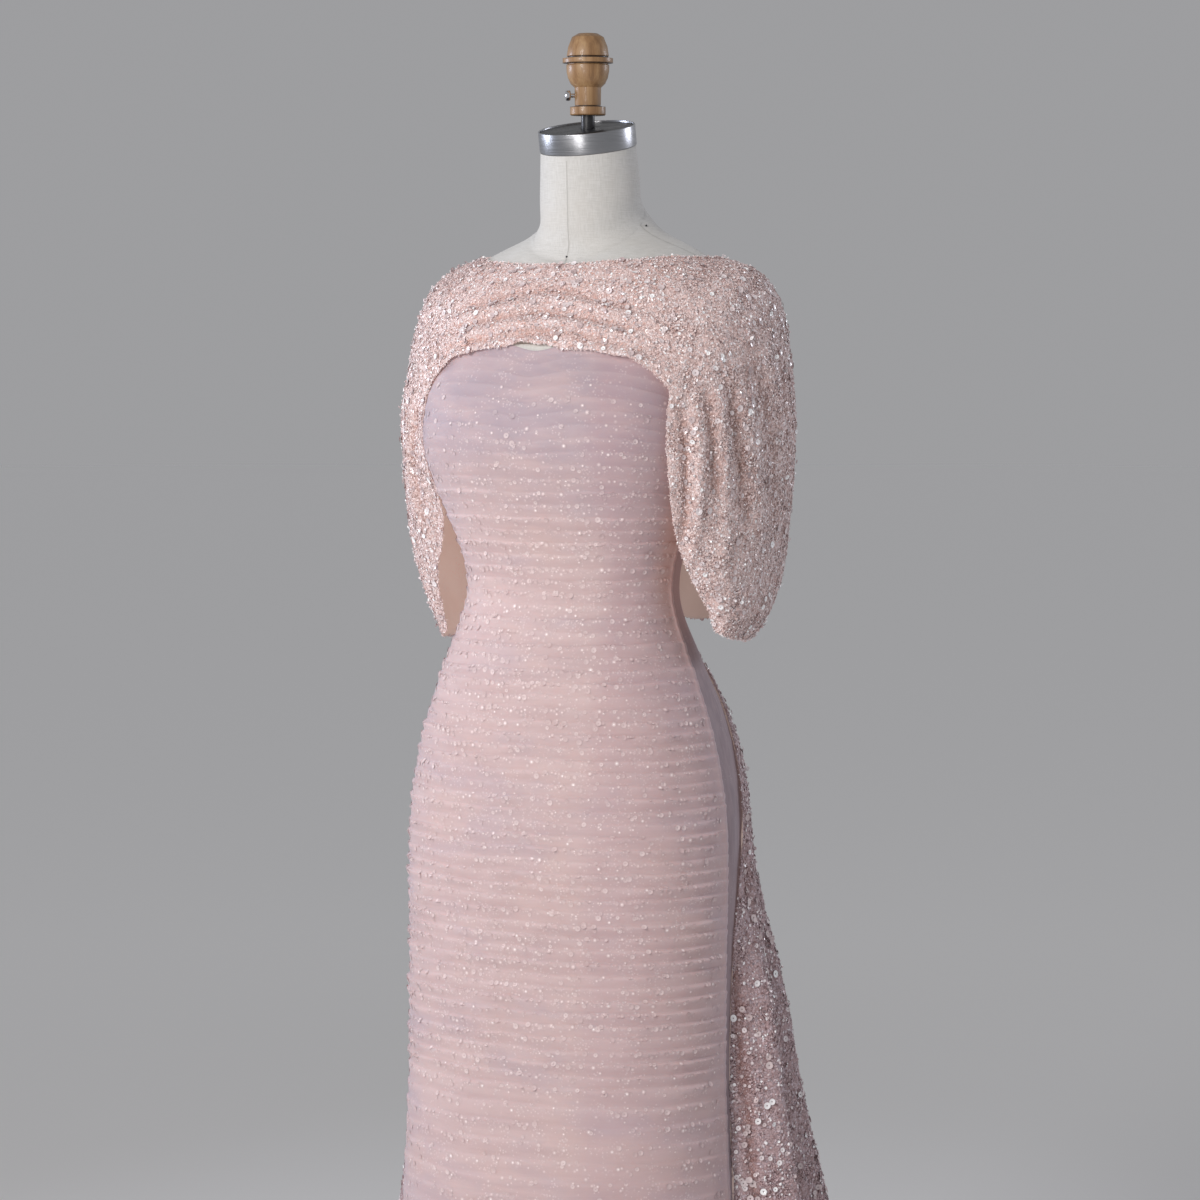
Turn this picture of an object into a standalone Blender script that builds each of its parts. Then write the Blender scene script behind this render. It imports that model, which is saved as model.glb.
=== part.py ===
"""Evening gown on a dress form: a pleated column gown with a draped cape and a train.

Units are metres, +Z is up, the wearer faces -Y and the wearer's left is +X. The origin is
on the floor, on the axis of the stand's pole. Angles round the body are measured in degrees
from the centre front (0), by the wearer's left (90) and the centre back (180).

The gown, the cape and the dress form share one set of body sections, so that cloth and form
lie a known gap apart. Every cloth piece is a thin closed wall, and the form is solid.
"""

import bisect
import math
from collections import namedtuple

import bmesh
import bpy
from mathutils import Matrix, Vector

# ---------------------------------------------------------------- driving dimensions
SEAM_GAP = 0.0003  # between two pieces at a seam
WALL = 0.0016  # cloth walls
GOWN_LINING = 0.0015  # from the bottom of a pleat to the gown's plain inner face
FORM_CLEARANCE = 0.0007  # gown's inner face to the dress form

GOWN_TOP = 1.289  # centre front of the strapless top edge
GOWN_HEM = 0.010
TOP_DIP_SIDE = 0.040  # how far the top edge drops under the arm
TOP_DIP_ANGLES = (45.0, 100.0)  # it starts to drop at the first angle, and is level past the second
TOP_DIP_FADE = 1.100  # pleats are level again at this height
PLEAT_PITCH = 0.0127
PLEAT_SHARE = 0.8  # share of the pitch from a pleat's fold down to its root
PLEATS = 58
SOFT_PITCH = 0.0190
SOFT_PLEATS = 9
PLAIN_STEPS = 4  # levels in the plain part of the skirt below them
SIDE_RIDGE = 0.0022  # the side seam stands out from the front panel
SIDE_RIDGE_ANGLE = 3.0

TORSO_BOTTOM = 0.800
NECKLINE = 1.3845  # level of the cape's neck edge on the shoulders
NECK_TOP = 1.4985
NECK_TILT = 0.20  # slope of the neck's top, down towards the front
NECK_BAND_RADIUS = 0.0503
NECK_BAND_HEIGHT = 0.0215
ROD_RADIUS = 0.0070
BORE_CLEARANCE = 0.0003
FINIAL_BASE = 1.5323
FINIAL_BORE_DEPTH = 0.046
SCREW_HEIGHT = 1.5527
SCREW_ANGLE = 27.0  # the screw points this many degrees forward of the wearer's right
SCREW_SHANK_RADIUS = 0.0022
SCREW_HEAD_RADIUS = 0.0055
SCREW_HEAD_LENGTH = 0.0058
SCREW_HEAD_START = 0.0176  # from the rod's axis, so that the head stands off the wood
POLE_RADIUS = 0.0150
COLLAR_RADIUS = 0.045
COLLAR_HEIGHT = 0.010
BASE_RADIUS = 0.150

ROUND_SIDES = 20
ROD_SIDES = 16
NECK_SIDES = 28
FOOT_SIDES = 24
FRONT_COLUMNS = 14  # facets round the front, which gown and form share
BACK_COLUMNS = 6  # and round each half of the back

# ---------------------------------------------------------------- section tables
# A section is a rounded oval at one height. It is widest at Y = side, and front and back are
# its Y at the centre. square is the power of the oval: 2 is an ellipse, more is squarer.
# tilt is its slope, up towards the back.
Section = namedtuple("Section", "z half_width front side back square tilt")

SIDE_SEAM = -0.036  # the side seams lie in this plane across the body

GOWN_SECTIONS = [
    Section(0.000, 0.2280, -0.2450, SIDE_SEAM, 0.1700, 2.20, 0),
    Section(0.180, 0.2010, -0.2040, SIDE_SEAM, 0.1220, 2.25, 0),
    Section(0.410, 0.1810, -0.1770, SIDE_SEAM, 0.1000, 2.30, 0),
    Section(0.545, 0.1745, -0.1640, SIDE_SEAM, 0.1060, 2.35, 0),
    Section(0.700, 0.1753, -0.1580, SIDE_SEAM, 0.1220, 2.35, 0),
    Section(0.805, 0.1764, -0.1560, SIDE_SEAM, 0.1330, 2.30, 0),
    Section(0.854, 0.1707, -0.1530, SIDE_SEAM, 0.1330, 2.28, 0),
    Section(0.896, 0.1620, -0.1490, SIDE_SEAM, 0.1250, 2.25, 0),
    Section(0.938, 0.1490, -0.1435, SIDE_SEAM, 0.1080, 2.20, 0),
    Section(0.980, 0.1330, -0.1365, SIDE_SEAM, 0.0830, 2.15, 0),
    Section(1.011, 0.1215, -0.1275, SIDE_SEAM, 0.0680, 2.12, 0),
    Section(1.040, 0.1135, -0.1185, SIDE_SEAM, 0.0640, 2.10, 0),
    Section(1.076, 0.1158, -0.1220, SIDE_SEAM, 0.0660, 2.15, 0),
    Section(1.113, 0.1280, -0.1330, SIDE_SEAM, 0.0720, 2.25, 0),
    Section(1.140, 0.1362, -0.1420, SIDE_SEAM, 0.0770, 2.35, 0),
    Section(1.167, 0.1447, -0.1510, SIDE_SEAM, 0.0805, 2.45, 0),
    Section(1.205, 0.1520, -0.1585, SIDE_SEAM, 0.0830, 2.50, 0),
    Section(1.240, 0.1500, -0.1520, SIDE_SEAM, 0.0850, 2.50, 0),
    Section(1.289, 0.1450, -0.1260, SIDE_SEAM, 0.0860, 2.45, 0),
]

# The dress form above the gown: shoulders and neck.
SHOULDER_SECTIONS = [
    Section(1.315, 0.1560, -0.1080, -0.0200, 0.0865, 2.50, 0),
    Section(1.335, 0.1680, -0.0925, -0.0020, 0.0880, 2.50, 0),
    Section(1.352, 0.1710, -0.0800, 0.0120, 0.0890, 2.45, 0),
    Section(1.366, 0.1610, -0.0680, 0.0220, 0.0890, 2.35, 0),
    Section(1.378, 0.1440, -0.0575, 0.0270, 0.0890, 2.25, 0),
    Section(1.387, 0.1250, -0.0515, 0.0290, 0.0880, 2.15, 0.02),
    Section(1.396, 0.1080, -0.0480, 0.0320, 0.0865, 2.10, 0.04),
    Section(1.404, 0.0890, -0.0465, 0.0310, 0.0840, 2.05, 0.07),
    Section(1.413, 0.0670, -0.0460, 0.0220, 0.0800, 2.00, 0.10),
    Section(1.432, 0.0558, -0.0458, 0.0130, 0.0700, 2.00, 0.14),
    Section(1.451, 0.0536, -0.0464, 0.0080, 0.0610, 2.00, 0.16),
    Section(1.472, 0.0515, -0.0474, 0.0040, 0.0550, 2.00, 0.18),
    Section(NECK_TOP, 0.0498, -0.0485, 0.0010, 0.0505, 2.00, NECK_TILT),
]

# The form lies this far inside the gown at its lower end, and is snug from this height up.
HIP_SLACK = 0.007
SNUG_FROM = 1.000

# Heights that the gown's inner face and the form share, so that their facets lie parallel.
# They are closest together where the waist curves most.
FIT_LEVELS = [
    TORSO_BOTTOM, 0.833, 0.866, 0.899, 0.932, 0.962, 0.988, 1.010, 1.026, 1.040,
    1.056, 1.076, 1.100, 1.130, 1.160, 1.190, 1.215, 1.250, GOWN_TOP,
]
SKIRT_LEVELS = [GOWN_HEM, 0.110, 0.210, 0.310, 0.410, 0.545, 0.680, 0.740]  # and below the form

# Depth of the pleats, by height.
PLEAT_HEIGHTS = [0.380, 0.430, 0.540, 0.620, 0.900, 1.050, 1.200, 1.289]
PLEAT_DEPTHS = [0.0004, 0.0010, 0.0020, 0.0027, 0.0025, 0.0018, 0.0012, 0.0007]

# The cape from the armhole seam round to the centre back, for the wearer's left. Each row is
# one level down the cloth, and its points are (x, y, z) where the named folds cross it.
CapeLevel = namedtuple("CapeLevel", "down edge front outer back seam centre")

CAPE_LEVELS = [
    CapeLevel(0.10, (0.1560, -0.0480, 1.3450), (0.1650, -0.0130, 1.3660), (0.1745, 0.0300, 1.3730),
              (0.1650, 0.0640, 1.3700), (0.1150, 0.0920, 1.3660), (0.0, 0.0955, 1.3620)),
    CapeLevel(0.22, (0.1540, -0.0770, 1.3000), (0.1780, -0.0380, 1.3250), (0.1950, 0.0290, 1.3350),
              (0.1850, 0.0800, 1.3340), (0.1200, 0.1020, 1.3200), (0.0, 0.0970, 1.3100)),
    CapeLevel(0.38, (0.1440, -0.1020, 1.2480), (0.1845, -0.0540, 1.2540), (0.2070, 0.0230, 1.2560),
              (0.1900, 0.0880, 1.2560), (0.1230, 0.1080, 1.2500), (0.0, 0.0980, 1.2450)),
    CapeLevel(0.62, (0.1445, -0.1025, 1.1500), (0.1830, -0.0560, 1.1500), (0.2050, 0.0220, 1.1500),
              (0.1880, 0.0880, 1.1500), (0.1210, 0.1070, 1.1480), (0.0, 0.0950, 1.1450)),
    CapeLevel(0.82, (0.1445, -0.0680, 1.0750), (0.1790, -0.0400, 1.0650), (0.1935, 0.0250, 1.0630),
              (0.1780, 0.0880, 1.0640), (0.1140, 0.1010, 1.0650), (0.0, 0.0890, 1.0650)),
    CapeLevel(0.92, (0.1570, -0.0400, 1.0310), (0.1770, -0.0260, 1.0230), (0.1890, 0.0250, 1.0210),
              (0.1720, 0.0840, 1.0260), (0.1100, 0.0970, 1.0290), (0.0, 0.0865, 1.0310)),
    CapeLevel(1.00, (0.1585, -0.0290, 1.0080), (0.1700, -0.0190, 0.9995), (0.1730, 0.0240, 0.9950),
              (0.1560, 0.0760, 0.9990), (0.1040, 0.0900, 1.0030), (0.0, 0.0830, 1.0060)),
]
CAPE_COLUMNS = [0.0, 0.22, 0.40, 0.58, 0.80, 1.0]  # where edge ... centre lie across the cloth
CAPE_NECK_ANGLES = [80.0, 87.0, 93.0, 100.0, 128.0, 180.0]  # where they meet the neckline
CAPE_SEAM = 0.80  # the seam from sleeve to back piece, on the same scale
CAPE_LOWER_DOWNS = [0.45, 0.53, 0.62, 0.70, 0.78, 0.85, 0.92, 0.96, 1.0]  # rows below the armpit

# Soft folds that fan out from the armpit down the cape's sleeve.
Fold = namedtuple("Fold", "across_top across_foot top foot width height")
SLEEVE_FOLDS = [
    Fold(0.05, 0.07, 0.30, 1.05, 0.035, 0.0035),
    Fold(0.12, 0.21, 0.28, 1.05, 0.045, 0.0045),
    Fold(0.20, 0.36, 0.26, 1.05, 0.055, 0.0045),
    Fold(0.62, 0.60, 0.30, 1.05, 0.060, 0.0040),
]
FOLD_RISE = 0.25  # share of its length over which a fold rises from its top
HEM_FADE = (0.82, 0.97)  # where the folds run out above the hem

# The band across the chest: share of its drop, and how far it stands off the form there.
BAND_DROPS = [0.0, 0.30, 0.62, 0.88, 1.0]
BAND_OFFSETS = [0.0024, 0.0040, 0.0052, 0.0062, 0.0062]
BAND_FOOT = 1.2915  # its lower edge at the centre front
BAND_SWEEP = 5  # power of the curve by which its rows bend down to the armpit
BAND_FOLDS = 4
BAND_FOLD_HEIGHT = 0.0016
BAND_FOLD_FADES = (0.15, 0.10)  # shares of the drop over which they fade at neckline and lower edge
BAND_SIDE_FADE = 0.6  # share of their height that they lose towards the armpits
BAND_SIDE_ANGLES = (45.0, 75.0)
BAND_STEPS = 12  # rows in its drop, which the sleeve's edge shares
BAND_FOOT_LEVEL = 2  # the cape level where the band's lower edge meets the sleeve
BAND_SEAM_BLEND = 0.72  # from here to the seam, the band turns into the sleeve's edge

# The train: a row for each length of cloth run out from its top edge. free is 0 where it lies
# on the gown and 1 where it hangs free, edge is the angle of its front edge, stand_off how far
# that edge stands off the gown, and flute the depth of its folds.
TrainLevel = namedtuple("TrainLevel", "run z half_width back edge stand_off free flute")
TRAIN_LEVELS = [
    TrainLevel(0.0000, 1.0260, 0.1750, 0.1300, 140.0, 0.000, 0.0, 0.0000),
    TrainLevel(0.0760, 0.9500, 0.1750, 0.1300, 122.0, 0.000, 0.0, 0.0000),
    TrainLevel(0.1460, 0.8800, 0.1760, 0.1350, 111.0, 0.000, 0.0, 0.0000),
    TrainLevel(0.2260, 0.8000, 0.1820, 0.1420, 106.0, 0.000, 0.4, 0.0020),
    TrainLevel(0.3560, 0.6700, 0.1960, 0.1630, 95.0, 0.000, 1.0, 0.0060),
    TrainLevel(0.4810, 0.5450, 0.2080, 0.1960, 91.0, 0.000, 1.0, 0.0100),
    TrainLevel(0.6160, 0.4100, 0.2280, 0.2480, 91.0, 0.000, 1.0, 0.0140),
    TrainLevel(0.7860, 0.2400, 0.2650, 0.3350, 91.0, 0.000, 1.0, 0.0180),
    TrainLevel(0.9160, 0.1100, 0.2980, 0.4150, 91.0, 0.000, 1.0, 0.0200),
    TrainLevel(1.0060, 0.0240, 0.3240, 0.4800, 91.0, 0.002, 1.0, 0.0180),
    TrainLevel(1.0600, WALL, 0.3420, 0.5350, 91.0, 0.012, 1.0, 0.0140),
    TrainLevel(1.2100, WALL, 0.3780, 0.6850, 91.0, 0.045, 1.0, 0.0090),
]
TRAIN_HUGGING_ROWS = 9  # one for each level of the gown under it
TRAIN_FALLING_ROWS = 10
TRAIN_FLOOR_ROWS = 3
TRAIN_FLUTES = 8
TRAIN_SQUARE = 2.3  # power of the oval that its free part hangs in
TRAIN_OFFSET = 0.0009  # train's inner face to the gown
TRAIN_EDGE_SHARE = 0.16  # the front edge stays on the gown, and the cloth leaves it over this share

# The turned wooden finial: (radius, height above its base), from the top down its outer side.
FINIAL_PROFILE = [
    (0.0000, 0.0846), (0.0100, 0.0838), (0.0165, 0.0800), (0.0205, 0.0700), (0.0219, 0.0608),
    (0.0208, 0.0600), (0.0208, 0.0590), (0.0262, 0.0583), (0.0262, 0.0535), (0.0210, 0.0530),
    (0.0210, 0.0522), (0.0223, 0.0512), (0.0222, 0.0450), (0.0208, 0.0385), (0.0180, 0.0325),
    (0.0138, 0.0284), (0.0136, 0.0110), (0.0130, 0.0096), (0.0185, 0.0088), (0.0185, 0.0010),
    (0.0176, 0.0000), (0.0000, 0.0000),
]

# The stand's foot: (radius, height), from its socket's floor up and out to the underside.
FOOT_PROFILE = [
    (0.0000, 0.0150), (POLE_RADIUS + BORE_CLEARANCE, 0.0150), (POLE_RADIUS + BORE_CLEARANCE, 0.0600),
    (0.0240, 0.0600), (0.0260, 0.0580), (0.0280, 0.0260), (0.0420, 0.0180), (0.1350, 0.0120),
    (BASE_RADIUS - 0.003, 0.0100), (BASE_RADIUS, 0.0070), (BASE_RADIUS, 0.0000), (0.0000, 0.0000),
]

# ---------------------------------------------------------------- curves and sections


def smooth(knots, values, x):
    """Value at x of a smooth curve through the (knot, value) pairs, level beyond both ends."""
    if x <= knots[0]:
        return values[0]
    if x >= knots[-1]:
        return values[-1]
    right = bisect.bisect_right(knots, x)
    left = right - 1
    span = knots[right] - knots[left]
    t = (x - knots[left]) / span

    def slope(i):
        if i == 0 or i == len(knots) - 1:
            j = min(i, len(knots) - 2)
            return (values[j + 1] - values[j]) / (knots[j + 1] - knots[j])
        before = knots[i] - knots[i - 1]
        after = knots[i + 1] - knots[i]
        rise_before = (values[i] - values[i - 1]) / before
        rise_after = (values[i + 1] - values[i]) / after
        return (rise_before * after + rise_after * before) / (before + after)

    return (
        values[left] * (1 + 2 * t) * (1 - t) ** 2
        + values[right] * t * t * (3 - 2 * t)
        + span * t * (1 - t) * (slope(left) * (1 - t) - slope(right) * t)
    )


def ease(x, start, end):
    """0 before start, 1 after end, and a smooth rise between them."""
    t = min(1.0, max(0.0, (x - start) / (end - start)))
    return t * t * (3 - 2 * t)


def section_at(sections, z):
    """The section at height z, from the tables' columns."""
    heights = [s.z for s in sections]
    return Section(z, *(smooth(heights, column, z) for column in list(zip(*sections))[1:]))


def inset(section, depth):
    """The same section made smaller by depth all round, or larger if depth is negative."""
    return section._replace(
        half_width=section.half_width - depth,
        front=section.front + depth,
        back=section.back - depth,
    )


def on_section(section, angle, out=0.0):
    """The point of a section at an angle from the centre front, moved out along its normal."""
    turn = math.radians(angle)
    east, south = math.sin(turn), math.cos(turn)
    depth = section.side - section.front if south > 0 else section.back - section.side
    power = section.square
    radius = (abs(east / section.half_width) ** power + abs(south / depth) ** power) ** (-1 / power)
    x, y = radius * east, -radius * south
    normal = Vector((
        math.copysign(abs(x / section.half_width) ** (power - 1), x) / section.half_width,
        math.copysign(abs(y / depth) ** (power - 1), y) / depth,
    )).normalized()
    x, y = x + normal.x * out, y + normal.y * out
    return Vector((x, section.side + y, section.z + section.tilt * y))


def gown_section(z):
    return section_at(GOWN_SECTIONS, z)


def form_inset(z):
    """How far the form lies inside the gown's section at height z."""
    return GOWN_LINING + FORM_CLEARANCE + HIP_SLACK * (1 - ease(z, TORSO_BOTTOM, SNUG_FROM))


FORM_SECTIONS = [inset(gown_section(z), form_inset(z)) for z in FIT_LEVELS] + SHOULDER_SECTIONS


def form_section(z):
    """The dress form at height z: inside the gown's section, or the shoulders and neck."""
    return section_at(FORM_SECTIONS, z)


def on_form(z, angle, out):
    """A point over the dress form's surface at a height and angle, moved out along its normal."""
    step_up, step_round = 0.002, 1.0
    up = on_section(form_section(z + step_up), angle) - on_section(form_section(z - step_up), angle)
    level = form_section(z)
    along = on_section(level, angle + step_round) - on_section(level, angle - step_round)
    return on_section(level, angle) + along.cross(up).normalized() * out


# ---------------------------------------------------------------- mesh helpers


def new_object(name, mesh, material, collection):
    """An object with one material, in the model's collection."""
    thing = bpy.data.objects.new(name, mesh)
    mesh.materials.append(material)
    collection.objects.link(thing)
    return thing


def smooth_shade(mesh, sharp_angle=40.0):
    mesh.shade_smooth()
    mesh.set_sharp_from_angle(angle=math.radians(sharp_angle))


def normal_at(surface, u, v, step=0.01):
    """Outward normal of a surface whose u runs towards the wearer's left and v runs down."""
    across = surface(u + step, v) - surface(u - step, v)
    down = surface(u, v + step) - surface(u, v - step)
    return down.cross(across).normalized()


def cells(grid):
    """The four corners of each cell of a grid of vertices, anticlockwise from outside."""
    return [
        (upper[c], under[c], under[c + 1], upper[c + 1])
        for upper, under in zip(grid, grid[1:])
        for c in range(len(upper) - 1)
    ]


def split(cell, like):
    """A cell's two triangles, along the shorter diagonal of another cell."""
    a, b, c, d = cell
    if (like[0].co - like[2].co).length <= (like[1].co - like[3].co).length:
        return (a, b, c), (a, c, d)
    return (a, b, d), (b, c, d)


def shell_between(name, outer, inner, material, collection):
    """A closed wall from an outer and an inner grid whose rows may differ in number.

    Both run from the top down, with the same number of columns. Where the rows match, both
    faces are split along the same diagonals, so that the wall keeps its thickness. The side
    rims are polygons that join each step of the inner edge to the outer points beside it.
    """
    shape = bmesh.new()
    front = [[shape.verts.new(p) for p in row] for row in outer]
    rear = [[shape.verts.new(p) for p in row] for row in inner]
    for cell in cells(rear):
        for corners in split(cell, cell):
            shape.faces.new(corners[::-1])
    models = cells(rear) if len(outer) == len(inner) else cells(front)
    for cell, like in zip(cells(front), models):
        for corners in split(cell, like):
            shape.faces.new(corners)
    for cell in cells([rear[0], front[0]]) + cells([front[-1], rear[-1]]):
        shape.faces.new(cell)
    for column, flip in ((0, True), (-1, False)):
        beside = nearest_rows([row[column].co for row in rear], [row[column].co for row in front])
        for i in range(len(rear) - 1):
            outside = [front[k][column] for k in range(beside[i], beside[i + 1] + 1)]
            face = outside + [rear[i + 1][column], rear[i][column]]
            shape.faces.new(face[::-1] if flip else face)
    mesh = bpy.data.meshes.new(name)
    shape.to_mesh(mesh)
    shape.free()
    smooth_shade(mesh, sharp_angle=25.0)
    return new_object(name, mesh, material, collection)


def nearest_rows(inner, outer):
    """For each point of a wall's inner edge, the row of the outer edge that lies beside it."""
    if len(inner) == len(outer):
        return list(range(len(inner)))
    beside = [min(range(len(outer)), key=lambda k: abs(outer[k].z - point.z)) for point in inner]
    beside[0], beside[-1] = 0, len(outer) - 1
    return beside


def cloth_wall(name, points, normals, material, collection):
    """A closed cloth wall from rows of outer points, thickened inwards along their normals."""
    inner = [
        [point - normal * WALL for point, normal in zip(*rows)] for rows in zip(points, normals)
    ]
    for point in (point for row in inner for point in row):
        point.z = max(0.0, point.z)
    return shell_between(name, points, inner, material, collection)


def turned(name, profile, material, collection, sides=ROUND_SIDES):
    """A solid of revolution about Z from (radius, height) points, top to bottom outside."""
    mesh = bpy.data.meshes.new(name)
    ring = profile[0] == profile[-1]
    points = [(radius, 0.0, height) for radius, height in (profile[:-1] if ring else profile)]
    edges = [(i, (i + 1) % len(points)) for i in range(len(points) - (0 if ring else 1))]
    mesh.from_pydata(points, edges, [])
    thing = new_object(name, mesh, material, collection)
    screw = thing.modifiers.new("Turn", "SCREW")
    screw.steps = sides
    screw.render_steps = sides
    screw.use_merge_vertices = True
    screw.merge_threshold = 0.00001
    screw.use_smooth_shade = True
    return thing


def cylinder(name, radius, depth, material, collection, sides=ROUND_SIDES):
    """A capped cylinder about Z with its base at the object's origin."""
    mesh = bpy.data.meshes.new(name)
    shape = bmesh.new()
    bmesh.ops.create_cone(
        shape, cap_ends=True, segments=sides, radius1=radius, radius2=radius, depth=depth,
        matrix=Matrix.Translation((0, 0, depth / 2)),
    )
    shape.to_mesh(mesh)
    shape.free()
    smooth_shade(mesh)
    return new_object(name, mesh, material, collection)


def cut(thing, cutter):
    """Cuts a closed mesh object out of another, and keeps the cutter out of the model."""
    boolean = thing.modifiers.new("Cut " + cutter.name, "BOOLEAN")
    boolean.operation = "DIFFERENCE"
    boolean.solver = "EXACT"
    boolean.object = cutter
    cutter.hide_render = True
    cutter.display_type = "WIRE"


def principled(name, colour, roughness, metallic=0.0):
    """A plain material of one colour."""
    made = bpy.data.materials.new(name)
    made.use_nodes = True
    shader = made.node_tree.nodes["Principled BSDF"]
    shader.inputs["Base Color"].default_value = (*colour, 1.0)
    shader.inputs["Roughness"].default_value = roughness
    shader.inputs["Metallic"].default_value = metallic
    made.diffuse_color = (*colour, 1.0)
    return made


# ---------------------------------------------------------------- the gown


def dip(angle):
    """How far the gown's top edge lies below its centre front, at an angle."""
    from_front = 180.0 - abs(180.0 - abs(angle))
    return TOP_DIP_SIDE * ease(from_front, *TOP_DIP_ANGLES)


def lowered(z, angle):
    """A level's height at an angle: levels near the gown's top edge follow it down."""
    if z > GOWN_TOP:
        return z
    return z - dip(angle) * ease(z, TOP_DIP_FADE, GOWN_TOP)


def pleat_levels():
    """(height, depth outwards) down the front: each pleat's fold, then its root."""
    levels = []
    z = GOWN_TOP
    for count, pitch in ((PLEATS, PLEAT_PITCH), (SOFT_PLEATS, SOFT_PITCH)):
        for _ in range(count):
            depth = smooth(PLEAT_HEIGHTS, PLEAT_DEPTHS, z)
            levels.append((z, depth))
            levels.append((z - pitch * PLEAT_SHARE, 0.0))
            z -= pitch
    return levels + [(z, 0.0)] + plain_levels(z)


def plain_levels(top):
    """(height, 0) for the plain part of the skirt under the pleats, down to the hem."""
    return [(top + (GOWN_HEM - top) * i / PLAIN_STEPS, 0.0) for i in range(1, PLAIN_STEPS + 1)]


def ridge(angle):
    """The raised side seam at the edge of the front panel."""
    return SIDE_RIDGE * ease(abs(angle), 90.0 - SIDE_RIDGE_ANGLE, 90.0)


def held_back(rows, first, last):
    """The same rows with their two end columns moved by the given vectors, for a seam's gap."""
    return [[row[0] + first] + row[1:-1] + [row[-1] + last] for row in rows]


def gown_panel(name, angles, levels, first, last, cloth, collection):
    """A closed panel over the column angles, from (height, depth, ridge) levels outside."""
    outer = [
        [on_section(gown_section(lowered(z, angle)), angle, depth + edge * ridge(angle))
         for angle in angles]
        for z, depth, edge in levels
    ]
    inner = [
        [on_section(inset(gown_section(lowered(z, angle)), GOWN_LINING), angle) for angle in angles]
        for z in reversed(SKIRT_LEVELS + FIT_LEVELS)
    ]
    outer, inner = held_back(outer, first, last), held_back(inner, first, last)
    return shell_between(name, outer, inner, cloth, collection)


def gown(pleated, plain, collection):
    """The front panel, pleated across from side seam to side seam, and two plain back panels."""
    forward, centre = Vector((0, SEAM_GAP / 2, 0)), Vector((SEAM_GAP / 2, 0, 0))
    angles = [-90.0 + 180.0 * i / FRONT_COLUMNS for i in range(FRONT_COLUMNS + 1)]
    angles[1:1] = [-90.0 + SIDE_RIDGE_ANGLE]
    angles[-1:-1] = [90.0 - SIDE_RIDGE_ANGLE]
    levels = [(z, depth, 1) for z, depth in pleat_levels()]
    gown_panel("gown_front", angles, levels, -forward, -forward, pleated, collection)
    levels = [(z, 0, 0) for z in reversed(SKIRT_LEVELS + FIT_LEVELS)]
    left = [90.0 + 90.0 * i / BACK_COLUMNS for i in range(BACK_COLUMNS + 1)]
    gown_panel("gown_back_left", left, levels, forward, centre, plain, collection)
    right = [angle - 270.0 for angle in left]
    gown_panel("gown_back_right", right, levels, -centre, forward, plain, collection)


# ---------------------------------------------------------------- the cape


def cape_net(across, down):
    """A point of the wearer's left half of the cape, behind the armhole seam.

    across runs from the front edge (0) to the centre back (1), and down from the
    neckline (0) to the hem (1).
    """
    neck_angle = smooth(CAPE_COLUMNS, CAPE_NECK_ANGLES, across)
    points = [on_form(NECKLINE, neck_angle, BAND_OFFSETS[0])]
    for level in CAPE_LEVELS:
        points.append([smooth(CAPE_COLUMNS, [fold[i] for fold in level[1:]], across) for i in range(3)])
    downs = [0.0] + [level.down for level in CAPE_LEVELS]
    return clear_of_form(Vector([smooth(downs, [point[i] for point in points], down) for i in range(3)]))


def clear_of_form(point):
    """The point, moved out along the form's normal if it lies nearer than the band would."""
    section = form_section(point.z)
    angle = math.degrees(math.atan2(point.x, section.side - point.y))
    surface = on_form(point.z, angle, 0.0)
    normal = (on_form(point.z, angle, 1.0) - surface).normalized()
    least = smooth(BAND_DROPS, BAND_OFFSETS, (NECKLINE - point.z) / (NECKLINE - BAND_FOOT))
    return point + normal * max(0.0, least - (point - surface).dot(normal))


def fold_height(across, down):
    """Height of the soft folds at a point of the cape."""
    height = 0.0
    for fold in SLEEVE_FOLDS:
        share = (down - fold.top) / (fold.foot - fold.top)
        middle = fold.across_top + (fold.across_foot - fold.across_top) * share
        away = abs(across - middle) / fold.width
        if share > 0.0 and away < 1.0:
            height += fold.height * math.cos(away * math.pi / 2) ** 2 * ease(share, 0.0, FOLD_RISE)
    return height * (1 - ease(down, *HEM_FADE))


def cape_point(across, down):
    return cape_net(across, down) + normal_at(cape_net, across, down) * fold_height(across, down)


def cape_grid(across_steps, down_steps):
    """Rows of points of the cape's left half, and of their normals."""
    points = [[cape_point(a, d) for a in across_steps] for d in down_steps]
    normals = [[normal_at(cape_point, a, d) for a in across_steps] for d in down_steps]
    return points, normals


def mirrored(rows):
    """The same rows on the wearer's right, with columns reversed so that they face out."""
    return [[Vector((-p.x, p.y, p.z)) for p in reversed(row)] for row in rows]


def across_seam(across, down):
    """Unit vector in the cloth, square to a seam that runs down it, towards the centre back."""
    tangent = cape_point(across, down + 0.01) - cape_point(across, down - 0.01)
    return normal_at(cape_point, across, down).cross(tangent).normalized()


def cape_downs():
    """The cape's rows: those of the band, and on down to the hem."""
    armpit = CAPE_LEVELS[BAND_FOOT_LEVEL].down
    return [armpit * i / BAND_STEPS for i in range(BAND_STEPS + 1)] + CAPE_LOWER_DOWNS


def cape_sleeves(cloth, collection):
    """Both sleeve pieces: from the armhole seam, over the shoulder, to the back seam."""
    across = [0.0, 0.04, 0.085, 0.14, 0.21, 0.29, 0.37, 0.45, 0.53, 0.60, 0.67, 0.74, CAPE_SEAM]
    points, normals = cape_grid(across, cape_downs())
    for row, down in zip(points, cape_downs()):
        row[-1] -= across_seam(CAPE_SEAM, down) * SEAM_GAP / 2
    cloth_wall("cape_sleeve_left", points, normals, cloth, collection)
    cloth_wall("cape_sleeve_right", mirrored(points), mirrored(normals), cloth, collection)


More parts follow.
